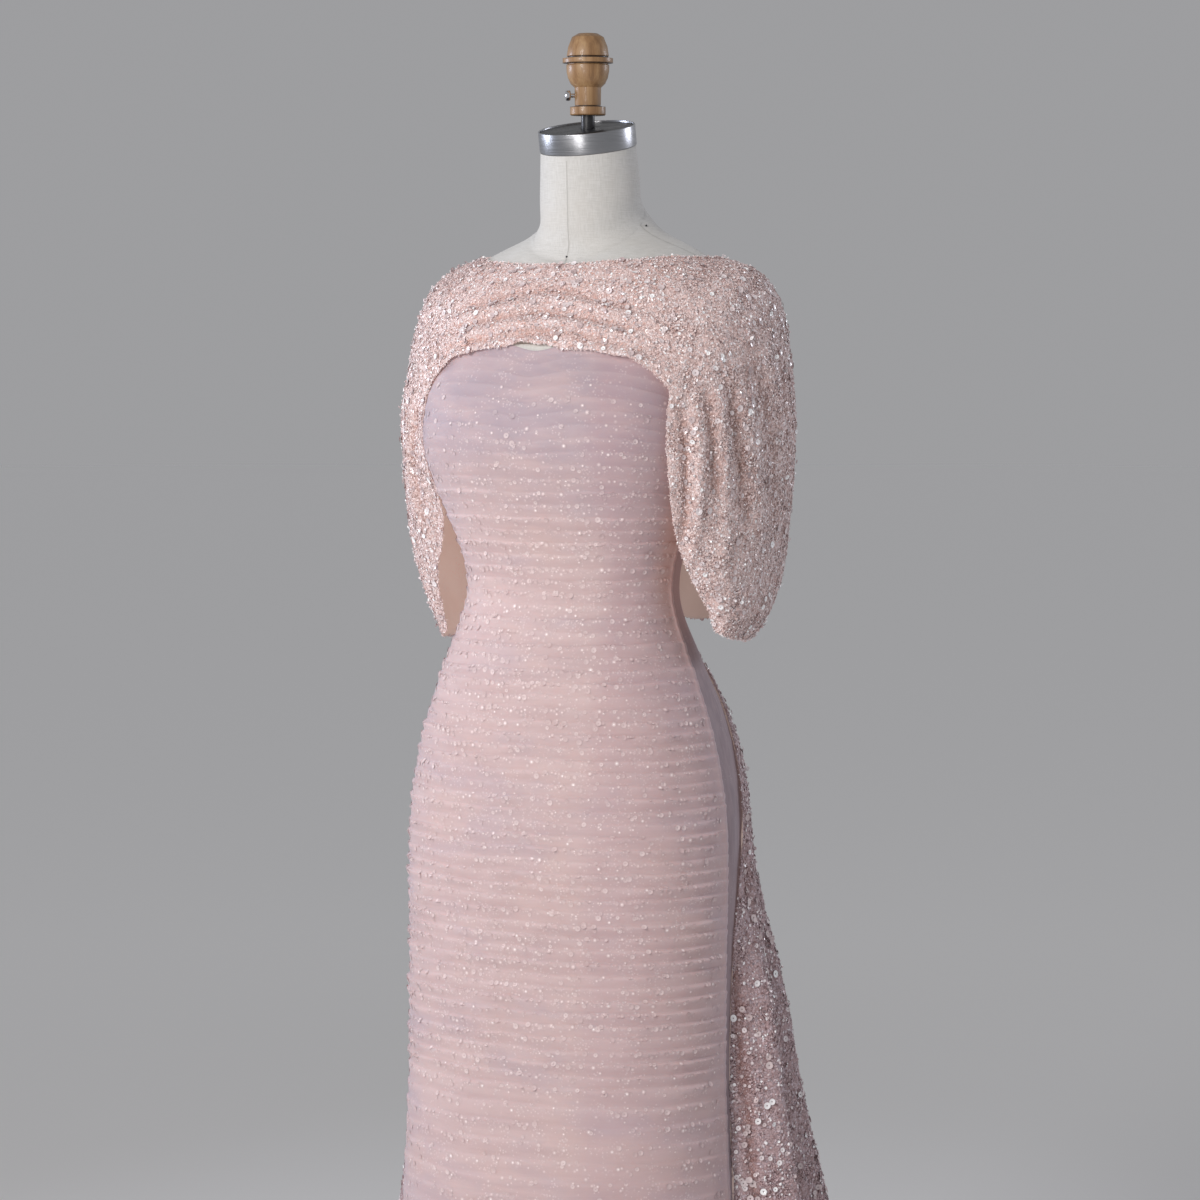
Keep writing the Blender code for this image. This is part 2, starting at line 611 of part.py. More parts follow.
def cape_back(cloth, collection):
    """The back piece, from seam to seam across the shoulder blades."""
    points, normals = cape_grid([CAPE_SEAM, 0.86, 0.93], cape_downs())
    for row, down in zip(points, cape_downs()):
        row[0] += across_seam(CAPE_SEAM, down) * SEAM_GAP / 2
    backs = zip(mirrored(points), mirrored(normals))
    for down, row, facing, (other_row, other_facing) in zip(cape_downs(), points, normals, backs):
        centre = normal_at(cape_point, 1.0, down)
        row += [cape_point(1.0, down)] + other_row
        facing += [Vector((0.0, centre.y, centre.z)).normalized()] + other_facing
    cloth_wall("cape_back", points, normals, cloth, collection)


def band_offset(drop, angle):
    """How far the chest band stands off the form: its drape folds run across and fade out."""
    wave = abs(math.sin(drop * BAND_FOLDS * math.pi))
    fade_down = ease(drop, 0.0, BAND_FOLD_FADES[0]) * ease(1.0 - drop, 0.0, BAND_FOLD_FADES[1])
    fade_across = 1.0 - BAND_SIDE_FADE * ease(angle, *BAND_SIDE_ANGLES)
    return smooth(BAND_DROPS, BAND_OFFSETS, drop) + wave * BAND_FOLD_HEIGHT * fade_down * fade_across


def band_seam(drop):
    """The band's end, a seam gap from the sleeve's edge between neckline and armpit."""
    down = drop * CAPE_LEVELS[BAND_FOOT_LEVEL].down
    return cape_point(0.0, down) - across_seam(0.0, down) * SEAM_GAP


def band_point(share, drop):
    """A point of the band. share runs from the right armhole seam (-1) to the left one (1)."""
    seam = band_seam(drop)
    seam_angle = math.degrees(math.atan2(seam.x, form_section(seam.z).side - seam.y))
    angle = abs(share) * seam_angle
    centre = NECKLINE + (BAND_FOOT - NECKLINE) * drop
    z = centre + (seam.z - centre) * abs(share) ** BAND_SWEEP
    point = on_form(z, angle, band_offset(drop, angle))
    point = point.lerp(seam, ease(abs(share), BAND_SEAM_BLEND, 1.0))
    point = clear_of_form(point)
    return Vector((math.copysign(point.x, share), point.y, point.z))


def band_normal(share, drop):
    """The band's normal, which turns to the sleeve's own at the seam."""
    down = drop * CAPE_LEVELS[BAND_FOOT_LEVEL].down
    sleeve = normal_at(cape_point, 0.0, down)
    sleeve.x = math.copysign(sleeve.x, share)
    own = normal_at(band_point, share, drop)
    return own.lerp(sleeve, ease(abs(share), BAND_SEAM_BLEND, 1.0)).normalized()


def cape_band(cloth, collection):
    """The draped band across the chest, between the two armhole seams."""
    right = [-1.0, -0.95, -0.88, -0.8, -0.7, -0.56, -0.42, -0.28, -0.14]
    shares = right + [0.0] + [-share for share in reversed(right)]
    drops = [i / BAND_STEPS for i in range(BAND_STEPS + 1)]
    points = [[band_point(share, drop) for share in shares] for drop in drops]
    normals = [[band_normal(share, drop) for share in shares] for drop in drops]
    cloth_wall("cape_front_band", points, normals, cloth, collection)


# ---------------------------------------------------------------- the train


def train_point(share, run):
    """share goes from the wearer's left front edge (-1) round the back to the right (1)."""
    runs = [level.run for level in TRAIN_LEVELS]
    z, half_width, back, edge, stand_off, free, flute = (
        smooth(runs, [level[i] for level in TRAIN_LEVELS], run) for i in range(1, 8)
    )
    angle = 180.0 + share * (180.0 - edge)
    z = max(z, WALL)
    gown = gown_section(max(z, GOWN_HEM))._replace(z=z)
    sewn = on_section(gown, angle, WALL + TRAIN_OFFSET + stand_off)
    if free <= 0.0:
        return sewn
    hanging = Section(z, half_width, SIDE_SEAM - back, SIDE_SEAM, back, TRAIN_SQUARE, 0)
    wave = math.cos(math.pi * TRAIN_FLUTES * (share + 1))
    loose = on_section(hanging, angle, -flute * wave)
    return sewn.lerp(loose, free * ease(1.0 - abs(share), 0.0, TRAIN_EDGE_SHARE))


def train_runs():
    """The rows of the train: by the gown's own levels, then falling, then along the floor."""
    hugging = [TRAIN_LEVELS[0].z - z for z in reversed(FIT_LEVELS[:TRAIN_HUGGING_ROWS])]
    floor, end = TRAIN_LEVELS[-2].run, TRAIN_LEVELS[-1].run
    falling = [
        hugging[-1] + (floor - hugging[-1]) * i / TRAIN_FALLING_ROWS for i in range(1, TRAIN_FALLING_ROWS)
    ]
    lying = [floor + (end - floor) * i / TRAIN_FLOOR_ROWS for i in range(TRAIN_FLOOR_ROWS + 1)]
    return hugging + falling + lying


def train(cloth, collection):
    """The train's two halves, with a seam at the centre back.

    Each is sewn over the hip to the side seam, then hangs free to the floor.
    """
    columns = TRAIN_FLUTES * 2
    shares = [-1 + i / columns for i in range(columns + 1)]
    runs = train_runs()
    points = [[train_point(share, run) for share in shares] for run in runs]
    normals = [
        [Vector((0, 0, 1)) if run >= TRAIN_LEVELS[-2].run else normal_at(train_point, share, run)
         for share in shares]
        for run in runs
    ]
    for row in points:
        row[-1].x = SEAM_GAP / 2
    cloth_wall("train_left", points, normals, cloth, collection)
    cloth_wall("train_right", mirrored(points), mirrored(normals), cloth, collection)


# ---------------------------------------------------------------- the dress form


def dress_form(linen, collection):
    """The solid torso with shoulders and neck, flat underneath."""
    front = [-90.0 + 180.0 * i / FRONT_COLUMNS for i in range(FRONT_COLUMNS)]
    back = [90.0 + 90.0 * i / BACK_COLUMNS for i in range(2 * BACK_COLUMNS)]
    levels = FIT_LEVELS + [s.z for s in SHOULDER_SECTIONS]
    shape = bmesh.new()
    rings = []
    for z in levels:
        ring = [on_section(form_section(lowered(z, angle)), angle) for angle in front + back]
        rings.append([shape.verts.new(point) for point in ring])
    closed = [ring + ring[:1] for ring in reversed(rings)]
    for cell in cells(closed):
        for corners in split(cell, cell):
            shape.faces.new(corners)
    shape.faces.new(rings[0][::-1])
    shape.faces.new(rings[-1])
    mesh = bpy.data.meshes.new("form_torso")
    shape.to_mesh(mesh)
    shape.free()
    smooth_shade(mesh)
    return new_object("form_torso", mesh, linen, collection)


def tilted(thing, up):
    """Places a piece on the neck's sloping top, up above it along its own axis."""
    slope = math.atan(NECK_TILT)
    top = Vector((0, SHOULDER_SECTIONS[-1].side, NECK_TOP))
    axis = Vector((0, -math.sin(slope), math.cos(slope)))
    thing.location = top + axis * up
    thing.rotation_euler = (slope, 0, 0)


def neck_fittings(steel, black, collection, cutters):
    """The steel neck band, the cap inside it, and the rod that carries the finial."""
    thickness = 0.0014
    round_off = 0.0004
    cap_recess = 0.0015
    outer = NECK_BAND_RADIUS
    inner = outer - thickness
    height = NECK_BAND_HEIGHT
    band = turned("neck_band", [
        (inner, height), (outer - round_off, height), (outer, height - round_off),
        (outer, round_off), (outer - round_off, 0.0), (inner, 0.0), (inner, height),
    ], steel, collection, sides=NECK_SIDES)
    tilted(band, SEAM_GAP)
    cap = cylinder(
        "neck_cap", inner - BORE_CLEARANCE, height - cap_recess, black, collection, sides=NECK_SIDES
    )
    tilted(cap, SEAM_GAP)
    bore = cylinder(
        "rod_hole", ROD_RADIUS + BORE_CLEARANCE, 4 * height, black, cutters, sides=ROD_SIDES
    )
    bore.location = (0, 0, NECK_TOP - height)
    cut(cap, bore)
    bottom = NECK_TOP + 2 * ROD_RADIUS * NECK_TILT + 0.001
    top = FINIAL_BASE + FINIAL_BORE_DEPTH - SEAM_GAP
    rod = cylinder("form_rod", ROD_RADIUS, top - bottom, black, collection, sides=ROD_SIDES)
    rod.location = (0, 0, bottom)


def finial(wood, steel, collection, cutters):
    """The turned wooden finial, bored for the rod and for its thumb screw."""
    knob = turned("finial", FINIAL_PROFILE, wood, collection)
    knob.location = (0, 0, FINIAL_BASE)
    overrun = 0.01
    bore = cylinder(
        "finial_bore", ROD_RADIUS + BORE_CLEARANCE, FINIAL_BORE_DEPTH + overrun, wood, cutters,
        sides=ROD_SIDES,
    )
    bore.location = (0, 0, FINIAL_BASE - overrun)
    cut(knob, bore)
    turn = Matrix.Rotation(math.radians(180.0 + SCREW_ANGLE), 4, "Z")
    sideways = turn @ Matrix.Rotation(math.pi / 2, 4, "Y")
    hole = cylinder(
        "screw_hole", SCREW_SHANK_RADIUS + BORE_CLEARANCE, SCREW_HEAD_START + overrun, wood, cutters,
        sides=12,
    )
    hole.matrix_world = Matrix.Translation((0, 0, SCREW_HEIGHT)) @ sideways
    cut(knob, hole)
    chamfer = 0.0012
    shank_end = ROD_RADIUS + SEAM_GAP
    head_end = SCREW_HEAD_START + SCREW_HEAD_LENGTH
    screw = turned("thumb_screw", [
        (0.0, head_end), (SCREW_HEAD_RADIUS - chamfer, head_end),
        (SCREW_HEAD_RADIUS, head_end - chamfer), (SCREW_HEAD_RADIUS, SCREW_HEAD_START + chamfer),
        (SCREW_HEAD_RADIUS - chamfer, SCREW_HEAD_START), (SCREW_SHANK_RADIUS, SCREW_HEAD_START),
        (SCREW_SHANK_RADIUS, shank_end), (0.0, shank_end),
    ], steel, collection, sides=ROD_SIDES)
    screw.matrix_world = Matrix.Translation((0, 0, SCREW_HEIGHT)) @ sideways


def stand(black, collection):
    """The pole, the collar that it carries the form by, and the round foot."""
    turned("stand_foot", FOOT_PROFILE, black, collection, sides=FOOT_SIDES)
    collar_bottom = TORSO_BOTTOM - SEAM_GAP - COLLAR_HEIGHT
    collar = cylinder("stand_collar", COLLAR_RADIUS, COLLAR_HEIGHT, black, collection)
    collar.location = (0, 0, collar_bottom)
    pole_bottom = FOOT_PROFILE[0][1] + SEAM_GAP
    pole_length = collar_bottom - SEAM_GAP - pole_bottom
    pole = cylinder("stand_pole", POLE_RADIUS, pole_length, black, collection, sides=FOOT_SIDES)
    pole.location = (0, 0, pole_bottom)


# ---------------------------------------------------------------- assembly


def main():
    for thing in list(bpy.data.objects):
        bpy.data.objects.remove(thing)
    model = bpy.data.collections.new("Evening gown on dress form")
    cutters = bpy.data.collections.new("Cutters")
    for collection in (model, cutters):
        bpy.context.scene.collection.children.link(collection)

    tulle = principled("Pleated tulle", (0.80, 0.62, 0.61), 0.70)
    plain = principled("Plain tulle", (0.68, 0.55, 0.56), 0.75)
    lace = principled("Sequinned lace", (0.74, 0.58, 0.55), 0.45)
    linen = principled("Linen", (0.80, 0.79, 0.77), 0.80)
    steel = principled("Brushed steel", (0.62, 0.63, 0.66), 0.30, 1.0)
    black = principled("Black metal", (0.02, 0.02, 0.02), 0.35)
    wood = principled("Turned wood", (0.62, 0.43, 0.25), 0.50)

    gown(tulle, plain, model)
    cape_band(lace, model)
    cape_sleeves(lace, model)
    cape_back(lace, model)
    train(lace, model)
    dress_form(linen, model)
    neck_fittings(steel, black, model, cutters)
    finial(wood, steel, model, cutters)
    stand(black, model)


main()
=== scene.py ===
"""The looks of a pleated evening gown with a sequinned cape and train, on its dress form.

Each cloth piece is a thin skin on the frame's own wall, refined and creased, and each
hard piece is a copy of its node with rounded edges.
Sequins, beads and chips are small real meshes, strewn over the skins and joined. Metres, +Z
up; the wearer faces -Y, and angles round the body run from the centre front (0) by the
wearer's left (90) to the centre back (180).
"""
import math
from collections import namedtuple
from functools import partial

import bmesh
import bpy
import numpy as np
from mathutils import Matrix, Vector
from mathutils.bvhtree import BVHTree


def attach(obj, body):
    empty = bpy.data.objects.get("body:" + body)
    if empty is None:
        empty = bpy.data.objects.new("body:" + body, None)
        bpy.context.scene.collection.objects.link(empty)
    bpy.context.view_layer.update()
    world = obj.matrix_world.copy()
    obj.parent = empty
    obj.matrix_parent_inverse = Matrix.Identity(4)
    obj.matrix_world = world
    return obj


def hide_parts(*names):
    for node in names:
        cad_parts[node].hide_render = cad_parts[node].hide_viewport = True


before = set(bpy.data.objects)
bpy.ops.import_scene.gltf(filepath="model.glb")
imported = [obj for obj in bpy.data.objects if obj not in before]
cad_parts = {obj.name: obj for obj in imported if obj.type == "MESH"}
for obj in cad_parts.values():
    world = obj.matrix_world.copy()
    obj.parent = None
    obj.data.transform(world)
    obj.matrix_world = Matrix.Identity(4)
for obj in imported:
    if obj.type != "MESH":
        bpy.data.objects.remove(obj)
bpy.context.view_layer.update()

# ---------------------------------------------------------------- camera and light
VIEW_ANGLE = 27.0  # the camera stands this far to the wearer's left of the centre front
VIEW_DISTANCE = 4.0
VIEW_HEIGHT = 1.330
AIM_HEIGHT = 1.0317
AIM_ASIDE = 0.0125  # the frame's middle lies this far to the camera's right of the pole
LENS = 115.7
SENSOR = 36.0

# Lamps: azimuth from the camera's own side (positive to its right), height, distance, size, watts.
Lamp = namedtuple("Lamp", "name azimuth height distance size watts colour")
LAMPS = [
    Lamp("Key", -34.0, 2.10, 2.70, 0.80, 21.6, (1.0, 0.975, 0.96)),
    Lamp("Low front", -20.0, 0.75, 3.40, 0.70, 7.2, (1.0, 0.97, 0.96)),
    Lamp("Cool rim", -108.0, 1.60, 2.20, 0.60, 8.6, (0.78, 0.84, 1.0)),
    Lamp("Right rim", 112.0, 1.80, 2.20, 0.60, 5.2, (0.88, 0.90, 1.0)),
]
LAMP_SPREAD = 120.0  # degrees, so that no pool of light lies on the floor under a lamp
WORLD_COLOUR = (0.34, 0.34, 0.35)
FLOOR_NEAR = (0.84, 0.835, 0.83)
FLOOR_FAR = (1.0, 1.0, 1.0)  # as bright as the world, so the far floor has no edge
FLOOR_FADE = (1.0, 4.5)
FLOOR_RADIUS = 30.0
FLOOR_DROP = 0.0002  # the floor lies this far under the part
LAMPS_AIM = 1.05

# ---------------------------------------------------------------- cloth
MERGE = 0.00002
QUAD_ANGLE = 80.0  # two triangles that differ by less may be joined
SEAM_MERGE = 0.0006  # the cape's pieces and the train's halves meet 0.3 mm apart
SIDE_SEAM = -0.036  # the gown's side seams lie in this plane across the body
GOWN_TOP = 1.289
GOWN_HEM = 0.010
LINING = 0.0015  # from the gown's inner face to the bottom of its pleats
TOP_DIP_FADE = 1.100
PLEAT_PITCH = 0.0127
PLEATS = 58
SOFT_PITCH = 0.0190
SOFT_PLEATS = 9
PLEAT_HEIGHTS = [0.380, 0.430, 0.540, 0.620, 0.900, 1.050, 1.200, 1.250, 1.289]
PLEAT_DEPTHS = [0.0004, 0.0010, 0.0018, 0.0022, 0.0020, 0.0014, 0.0008, 0.0003, 0.0002]
PLEAT_SWING = 0.0005  # how far a fold wanders up and down, apart from its neighbours
TOP_RADIUS = 0.10  # the top edge's radius, as a share of its height
TOP_RISE = 0.010  # the tulle goes on under the cape's band, above the frame's own edge
TOP_NOTCH = (0.008, 0.034, 0.0075)  # where it stays lower: middle, half width, by how much
# The facing's rows, from its foot: how far behind the tulle's top edge, and how far above it.
FACING_ROWS = [(0.0016, -0.012), (0.0012, -0.002), (0.0014, 0.003), (0.0020, 0.0065)]
FACING_COLUMNS = (51, 81)
BUST_SIDE = (-64.0, 26.0, 1.180, 0.060, 0.0036)  # fuller: turn, spread, height, spread, by
# One pleat from its fold down to the next: (share of the pitch, share of the depth).
PLEAT_PROFILE = [(0.00, 0.12), (0.06, 0.58), (0.14, 1.00), (0.36, 0.80), (0.62, 0.42), (0.90, 0.03)]
PLEAT_SIDES = (0.85, 1.40, 0.45)  # its share in front, beside it, and at the side seam
GOWN_COLUMNS = 126
PLAIN_ROWS = 26  # from the lowest pleat to the hem
SEAM_TURN = 89.7  # the last column before the side seam, whose own is at 90
SEAM_START = 89.8  # from here the tulle is turned in to the wall's inner face
HIP_RADIUS = 0.17  # turns the angle round the body into a length, for the noise
FIELD_TURN, FIELD_COLUMNS, FIELD_ROWS = 89.6, 181, 240  # where the plain radius is measured
FIELD_BLUR = (4.5, 1.6)  # along the angles, then up and down
EDGE_BLUR = 3.0
SLOPE_ROWS = 5  # a missing radius goes on at the slope of this many rows
SIDE_RIDGE = 0.0022
SIDE_RIDGE_ANGLE = 3.0

CAPE_NODES = ["cape_front_band", "cape_sleeve_left", "cape_sleeve_right", "cape_back"]
TRAIN_NODES = ["train_left", "train_right"]
LACE_THICKNESS = 0.0007

# Creases of the cape and train: from an angle and height to another, half their width, their
# height (a trough's is below 0), how far they arch, and whether the other side has one too.
Crease = namedtuple(
    "Crease", "angle_top z_top angle_foot z_foot width height rise both", defaults=(0.0, True)
)
CAPE_CREASES = [
    Crease(58, 1.246, 62, 1.080, 0.0050, -0.0036),
    Crease(62, 1.262, 66, 1.050, 0.0055, 0.0034),
    Crease(66, 1.262, 71, 1.130, 0.0055, -0.0048),
    Crease(69, 1.276, 77, 1.040, 0.0065, 0.0036),
    Crease(73, 1.280, 84, 1.100, 0.0060, -0.0040),
    Crease(78, 1.290, 92, 1.050, 0.0075, 0.0030),
    Crease(84, 1.312, 101, 1.080, 0.0060, -0.0030),
    Crease(90, 1.330, 112, 1.030, 0.0080, 0.0028),
    Crease(98, 1.330, 116, 0.900, 0.0085, -0.0036),
    Crease(106, 1.335, 124, 0.880, 0.0090, 0.0042),
    Crease(118, 1.330, 133, 0.880, 0.0095, -0.0062),
    Crease(131, 1.340, 142, 0.880, 0.0100, 0.0060),
    Crease(144, 1.320, 151, 0.880, 0.0105, -0.0072),
    Crease(156, 1.345, 160, 0.880, 0.0110, 0.0064),
    Crease(168, 1.310, 170, 0.880, 0.0110, -0.0070),
    Crease(179, 1.345, 180, 0.880, 0.0115, 0.0056, 0.0, False),
    Crease(-66, 1.318, 62, 1.322, 0.0060, -0.0024, 0.034, False),
    Crease(-60, 1.310, 66, 1.308, 0.0050, 0.0018, 0.034, False),
    Crease(-64, 1.296, 60, 1.302, 0.0055, -0.0026, 0.032, False),
    Crease(-58, 1.290, 64, 1.290, 0.0050, 0.0018, 0.031, False),
    Crease(-60, 1.276, 57, 1.284, 0.0055, -0.0026, 0.031, False),
    Crease(-54, 1.268, 60, 1.272, 0.0045, 0.0016, 0.030, False),
    Crease(-56, 1.258, 52, 1.268, 0.0045, -0.0018, 0.032, False),
]
TRAIN_CREASES = [
    Crease(97, 0.840, 96, 0.010, 0.0045, -0.0050),
    Crease(104, 0.760, 107, -0.060, 0.0125, 0.0080),
    Crease(113, 0.720, 117, -0.070, 0.0115, -0.0095),
    Crease(124, 0.800, 127, -0.040, 0.0135, 0.0085),
    Crease(136, 0.740, 138, -0.060, 0.0125, -0.0105),
    Crease(148, 0.840, 149, -0.050, 0.0130, 0.0090),
    Crease(158, 0.760, 159, -0.060, 0.0125, -0.0100),
    Crease(171, 0.850, 171, -0.050, 0.0130, 0.0085),
    Crease(104, 0.960, 108, 0.640, 0.0080, -0.0024),
    Crease(122, 0.960, 126, 0.620, 0.0090, 0.0022),
    Crease(140, 0.980, 143, 0.600, 0.0090, -0.0026),
    Crease(162, 0.980, 164, 0.610, 0.0090, 0.0024),
]
CREASE_STEPS = 14
# Painted shade in the creases' troughs: the lace there is mixed towards a warm brown, and the trimmings
# get lower tints, so both come out darker.
CREASE_SHADE_DEPTH = 0.0040  # a crease this deep is as dull and warm as any
CREASE_SHADE_STRENGTH = 0.60

# Places where the cape is drawn to one side or up and down: a point, how far round it the
# cloth follows, and the move.
Nudge = namedtuple("Nudge", "x y z reach dx dy dz")
CAPE_NUDGES = [
    Nudge(-0.144, -0.102, 1.248, 0.022, 0.008, -0.001, -0.003),  # the right sleeve's front edge
    Nudge(-0.143, -0.107, 1.221, 0.022, 0.011, 0.0, 0.0),
    Nudge(-0.144, -0.108, 1.187, 0.022, 0.014, 0.0, 0.0),
    Nudge(-0.145, -0.103, 1.150, 0.022, 0.021, 0.0, 0.0),
    Nudge(-0.143, -0.092, 1.120, 0.022, 0.023, 0.0, 0.0),
    Nudge(-0.142, -0.077, 1.091, 0.022, 0.012, 0.0, 0.0),
    Nudge(-0.148, -0.060, 1.062, 0.020, 0.002, 0.0, 0.0),
    Nudge(-0.158, -0.034, 1.019, 0.026, 0.005, 0.0, -0.008),  # its lower corner
    Nudge(-0.163, -0.027, 1.000, 0.030, 0.009, 0.0, -0.011),
    Nudge(-0.172, -0.005, 0.997, 0.030, 0.008, 0.0, -0.010),
    Nudge(-0.174, 0.016, 0.995, 0.030, 0.004, 0.0, -0.006),
    Nudge(-0.123, -0.111, 1.266, 0.016, 0.0, 0.001, -0.003),  # the band's lower edge
    Nudge(-0.095, -0.119, 1.281, 0.016, 0.0, 0.001, 0.003),
    Nudge(-0.032, -0.127, 1.294, 0.014, 0.0, 0.001, 0.0),
    Nudge(-0.008, -0.128, 1.295, 0.013, 0.0, -0.001, 0.007),
    Nudge(0.018, -0.127, 1.295, 0.013, 0.0, -0.001, 0.004),
    Nudge(0.038, -0.127, 1.294, 0.013, 0.0, 0.001, -0.002),
    Nudge(0.077, -0.122, 1.289, 0.016, 0.0, 0.001, 0.002),
    Nudge(0.107, -0.117, 1.276, 0.018, 0.0, 0.001, 0.010),
    Nudge(0.130, -0.108, 1.259, 0.018, 0.001, 0.0, 0.011),
    Nudge(0.143, -0.103, 1.249, 0.016, 0.0, 0.0, 0.004),
    Nudge(-0.091, -0.034, 1.386, 0.018, -0.004, -0.003, -0.004),  # the neckline
    Nudge(-0.070, -0.044, 1.386, 0.018, -0.002, -0.005, -0.005),
    Nudge(-0.051, -0.050, 1.385, 0.018, -0.001, -0.006, -0.0055),
    Nudge(-0.030, -0.053, 1.385, 0.018, 0.0, -0.006, -0.0055),
    Nudge(0.000, -0.055, 1.385, 0.018, 0.0, -0.006, -0.0055),
    Nudge(0.030, -0.053, 1.385, 0.018, 0.0, -0.005, -0.0045),
    Nudge(0.051, -0.050, 1.385, 0.018, 0.0, -0.004, -0.003),
    Nudge(0.070, -0.044, 1.386, 0.018, 0.001, -0.002, -0.002),
]
HEM_HALF = 0.165
HEM_RISE = 0.016
HEM_WAVE = 0.0035
HEM_WAVE_LENGTH = 0.105
HEM_REACH = 1.16  # the cloth below this height follows its hem
HEM_LEVEL = 1.0  # and does so in full from here down
CAPE_LUMPS = 0.00035  # the height of the lace's fine unevenness
TRAIN_LUMPS = 0.0005
TRIM_FLOOR = 0.0006  # no trimming of the train lies lower than this
SKIN_FLOOR = 0.0004  # nor does its net's inner face
CLEAR_OF_FORM = 0.0022  # the least that a drawn part of the cape stays off what is under it
CLEAR_OF_GOWN = 0.0009
TRAIN_EDGE = -0.0336  # the train's front edges lie in this plane, and are laid on the gown
TRAIN_EDGE_REACH = 0.012
TRAIN_EDGE_LIFT = 0.0009
TRAIN_EDGE_BACK = 0.0095  # drawn back from the side seam, so that the gown's back shows there

# The colours of the lace and its chips are taken times these: the train hangs deeper in shade.
CAPE_SHADE = (1.0, 1.0, 1.0)
TRAIN_SHADE = (0.67, 0.62, 0.67)

# ---------------------------------------------------------------- the dress form
NECK_FOOT = 1.4165  # the mean height of the ring round the neck's foot
NECK_FOOT_TILT = 0.032  # it lies this much lower in front and higher behind
NECK_PULL = 0.0035  # the cover is drawn in above the seam at the neck's foot
NECK_PULL_ABOVE = 0.010
NECK_PULL_SPREAD = 0.016
NECK_SEAM_DEPTH = 0.0012
NECK_SEAM_SPREAD = 0.003
NECK_CAP_ABOVE = 1.45  # level faces over this height close the neck's top
FORM_RAY = 0.5  # a ray from this far out meets the form
SEAM_FOOT, SEAM_TOP = 0.805, 1.484
SHOULDER_SEAM = 96.0  # the turn of the side seams
PINS = [("pin_front", 0.0, 1.3865), ("pin_side", 102.0, 1.4186)]
PIN_RADIUS = 0.0011
PIN_LIFT = 0.0006
WOOD_RINGS = [(1.5918, 0.0012), (1.5855, 0.0007), (1.5415, 0.0012)]  # height, half width

# Hard pieces: the width of their rounded edges.
STEEL_EDGE, WOOD_EDGE, SCREW_EDGE, BLACK_EDGE = 0.0004, 0.0004, 0.0003, 0.0006
BLACK_NODES = ["neck_cap", "form_rod", "stand_collar", "stand_pole", "stand_foot"]
EDGE_ANGLE = 28.0  # edges sharper than this are rounded
SMOOTH_ANGLE = 35.0

# ---------------------------------------------------------------- trimmings
# lean: how far, in degrees, they tilt from the cloth; tint: its least and its spread
Strewn = namedtuple("Strewn", "kind count small large lift lean tint")
CAPE_CHIPS = [
    Strewn("flake", 60000, 0.0010, 0.0022, 0.0004, 34.0, (0.0, 1.0)),
    Strewn("grain", 5000, 0.0008, 0.0015, 0.0007, 40.0, (0.2, 0.8)),
]
CAPE_SEQUINS = [
    Strewn("ring", 760, 0.0024, 0.0038, 0.0014, 24.0, (0.0, 1.0)),
    Strewn("ring", 320, 0.0020, 0.0030, 0.0024, 85.0, (0.3, 0.7)),
    Strewn("disc", 2600, 0.0010, 0.0018, 0.0010, 34.0, (0.2, 0.8)),
    Strewn("bead", 1500, 0.0009, 0.0014, 0.0014, 0.0, (0.3, 0.7)),
    Strewn("bead", 620, 0.0014, 0.0019, 0.0022, 0.0, (0.5, 0.5)),
]
TRAIN_CHIPS = [
    Strewn("flake", 78000, 0.0012, 0.0027, 0.0005, 34.0, (0.0, 1.0)),
    Strewn("grain", 4000, 0.0009, 0.0017, 0.0007, 40.0, (0.2, 0.8)),
]
TRAIN_SEQUINS = [
    Strewn("ring", 2100, 0.0026, 0.0041, 0.0014, 24.0, (0.0, 1.0)),
    Strewn("ring", 700, 0.0022, 0.0032, 0.0024, 85.0, (0.3, 0.7)),
    Strewn("disc", 5200, 0.0011, 0.0020, 0.0010, 34.0, (0.2, 0.8)),
    Strewn("bead", 2400, 0.0010, 0.0015, 0.0014, 0.0, (0.3, 0.7)),
    Strewn("bead", 1300, 0.0014, 0.0020, 0.0022, 0.0, (0.5, 0.5)),
]
# Small sequins like those under the gown's tulle, most of them in a row on each pleat. They lie on
# its outer face, because the tulle here is not see-through.
VEILED = [
    Strewn("dot", 10500, 0.0012, 0.0027, 0.00008, 4.0, (0.16, 0.46)),
    Strewn("ring", 1700, 0.0020, 0.0031, 0.00008, 4.0, (0.12, 0.32)),
    Strewn("dot", 1500, 0.0018, 0.0033, 0.0002, 8.0, (0.55, 0.35)),
]
VEILED_IN_ROWS = 0.74
VEILED_ROW = 0.42
VEILED_ROW_SPREAD = 0.10
VEILED_BELOW = 0.17
VEILED_FROM = (0.012, 0.110)  # they thin out over this depth below the top edge
# Cut beads along the open edges: how far apart, how far off the edge, and their least and
# greatest size, lean and tints.
CAPE_BEAD_STEP, TRAIN_BEAD_STEP = 0.0011, 0.0016
EDGE_SCATTER = 0.0006
EDGE_SIZES = (0.0010, 0.0018)
EDGE_LEAN = 50.0
EDGE_TINTS = (0.2, 1.0)

# ---------------------------------------------------------------- small helpers


def ease(x, start, end):
    """0 before start, 1 after end, and a smooth rise between them."""
    t = np.clip((x - start) / (end - start), 0.0, 1.0)
    return t * t * (3 - 2 * t)


def ripple(points, size, seed, waves=9):
    """Smooth noise over points, of about unit height, with waves about size long."""
    rng = np.random.default_rng(seed)
    total = np.zeros(len(points))
    for _ in range(waves):
        direction = rng.normal(size=points.shape[1])
        direction /= np.linalg.norm(direction)
        length = size * rng.uniform(0.7, 1.5)
        total += np.sin(points @ direction * (math.tau / length) + rng.uniform(0, math.tau))
    return total / math.sqrt(waves / 2)


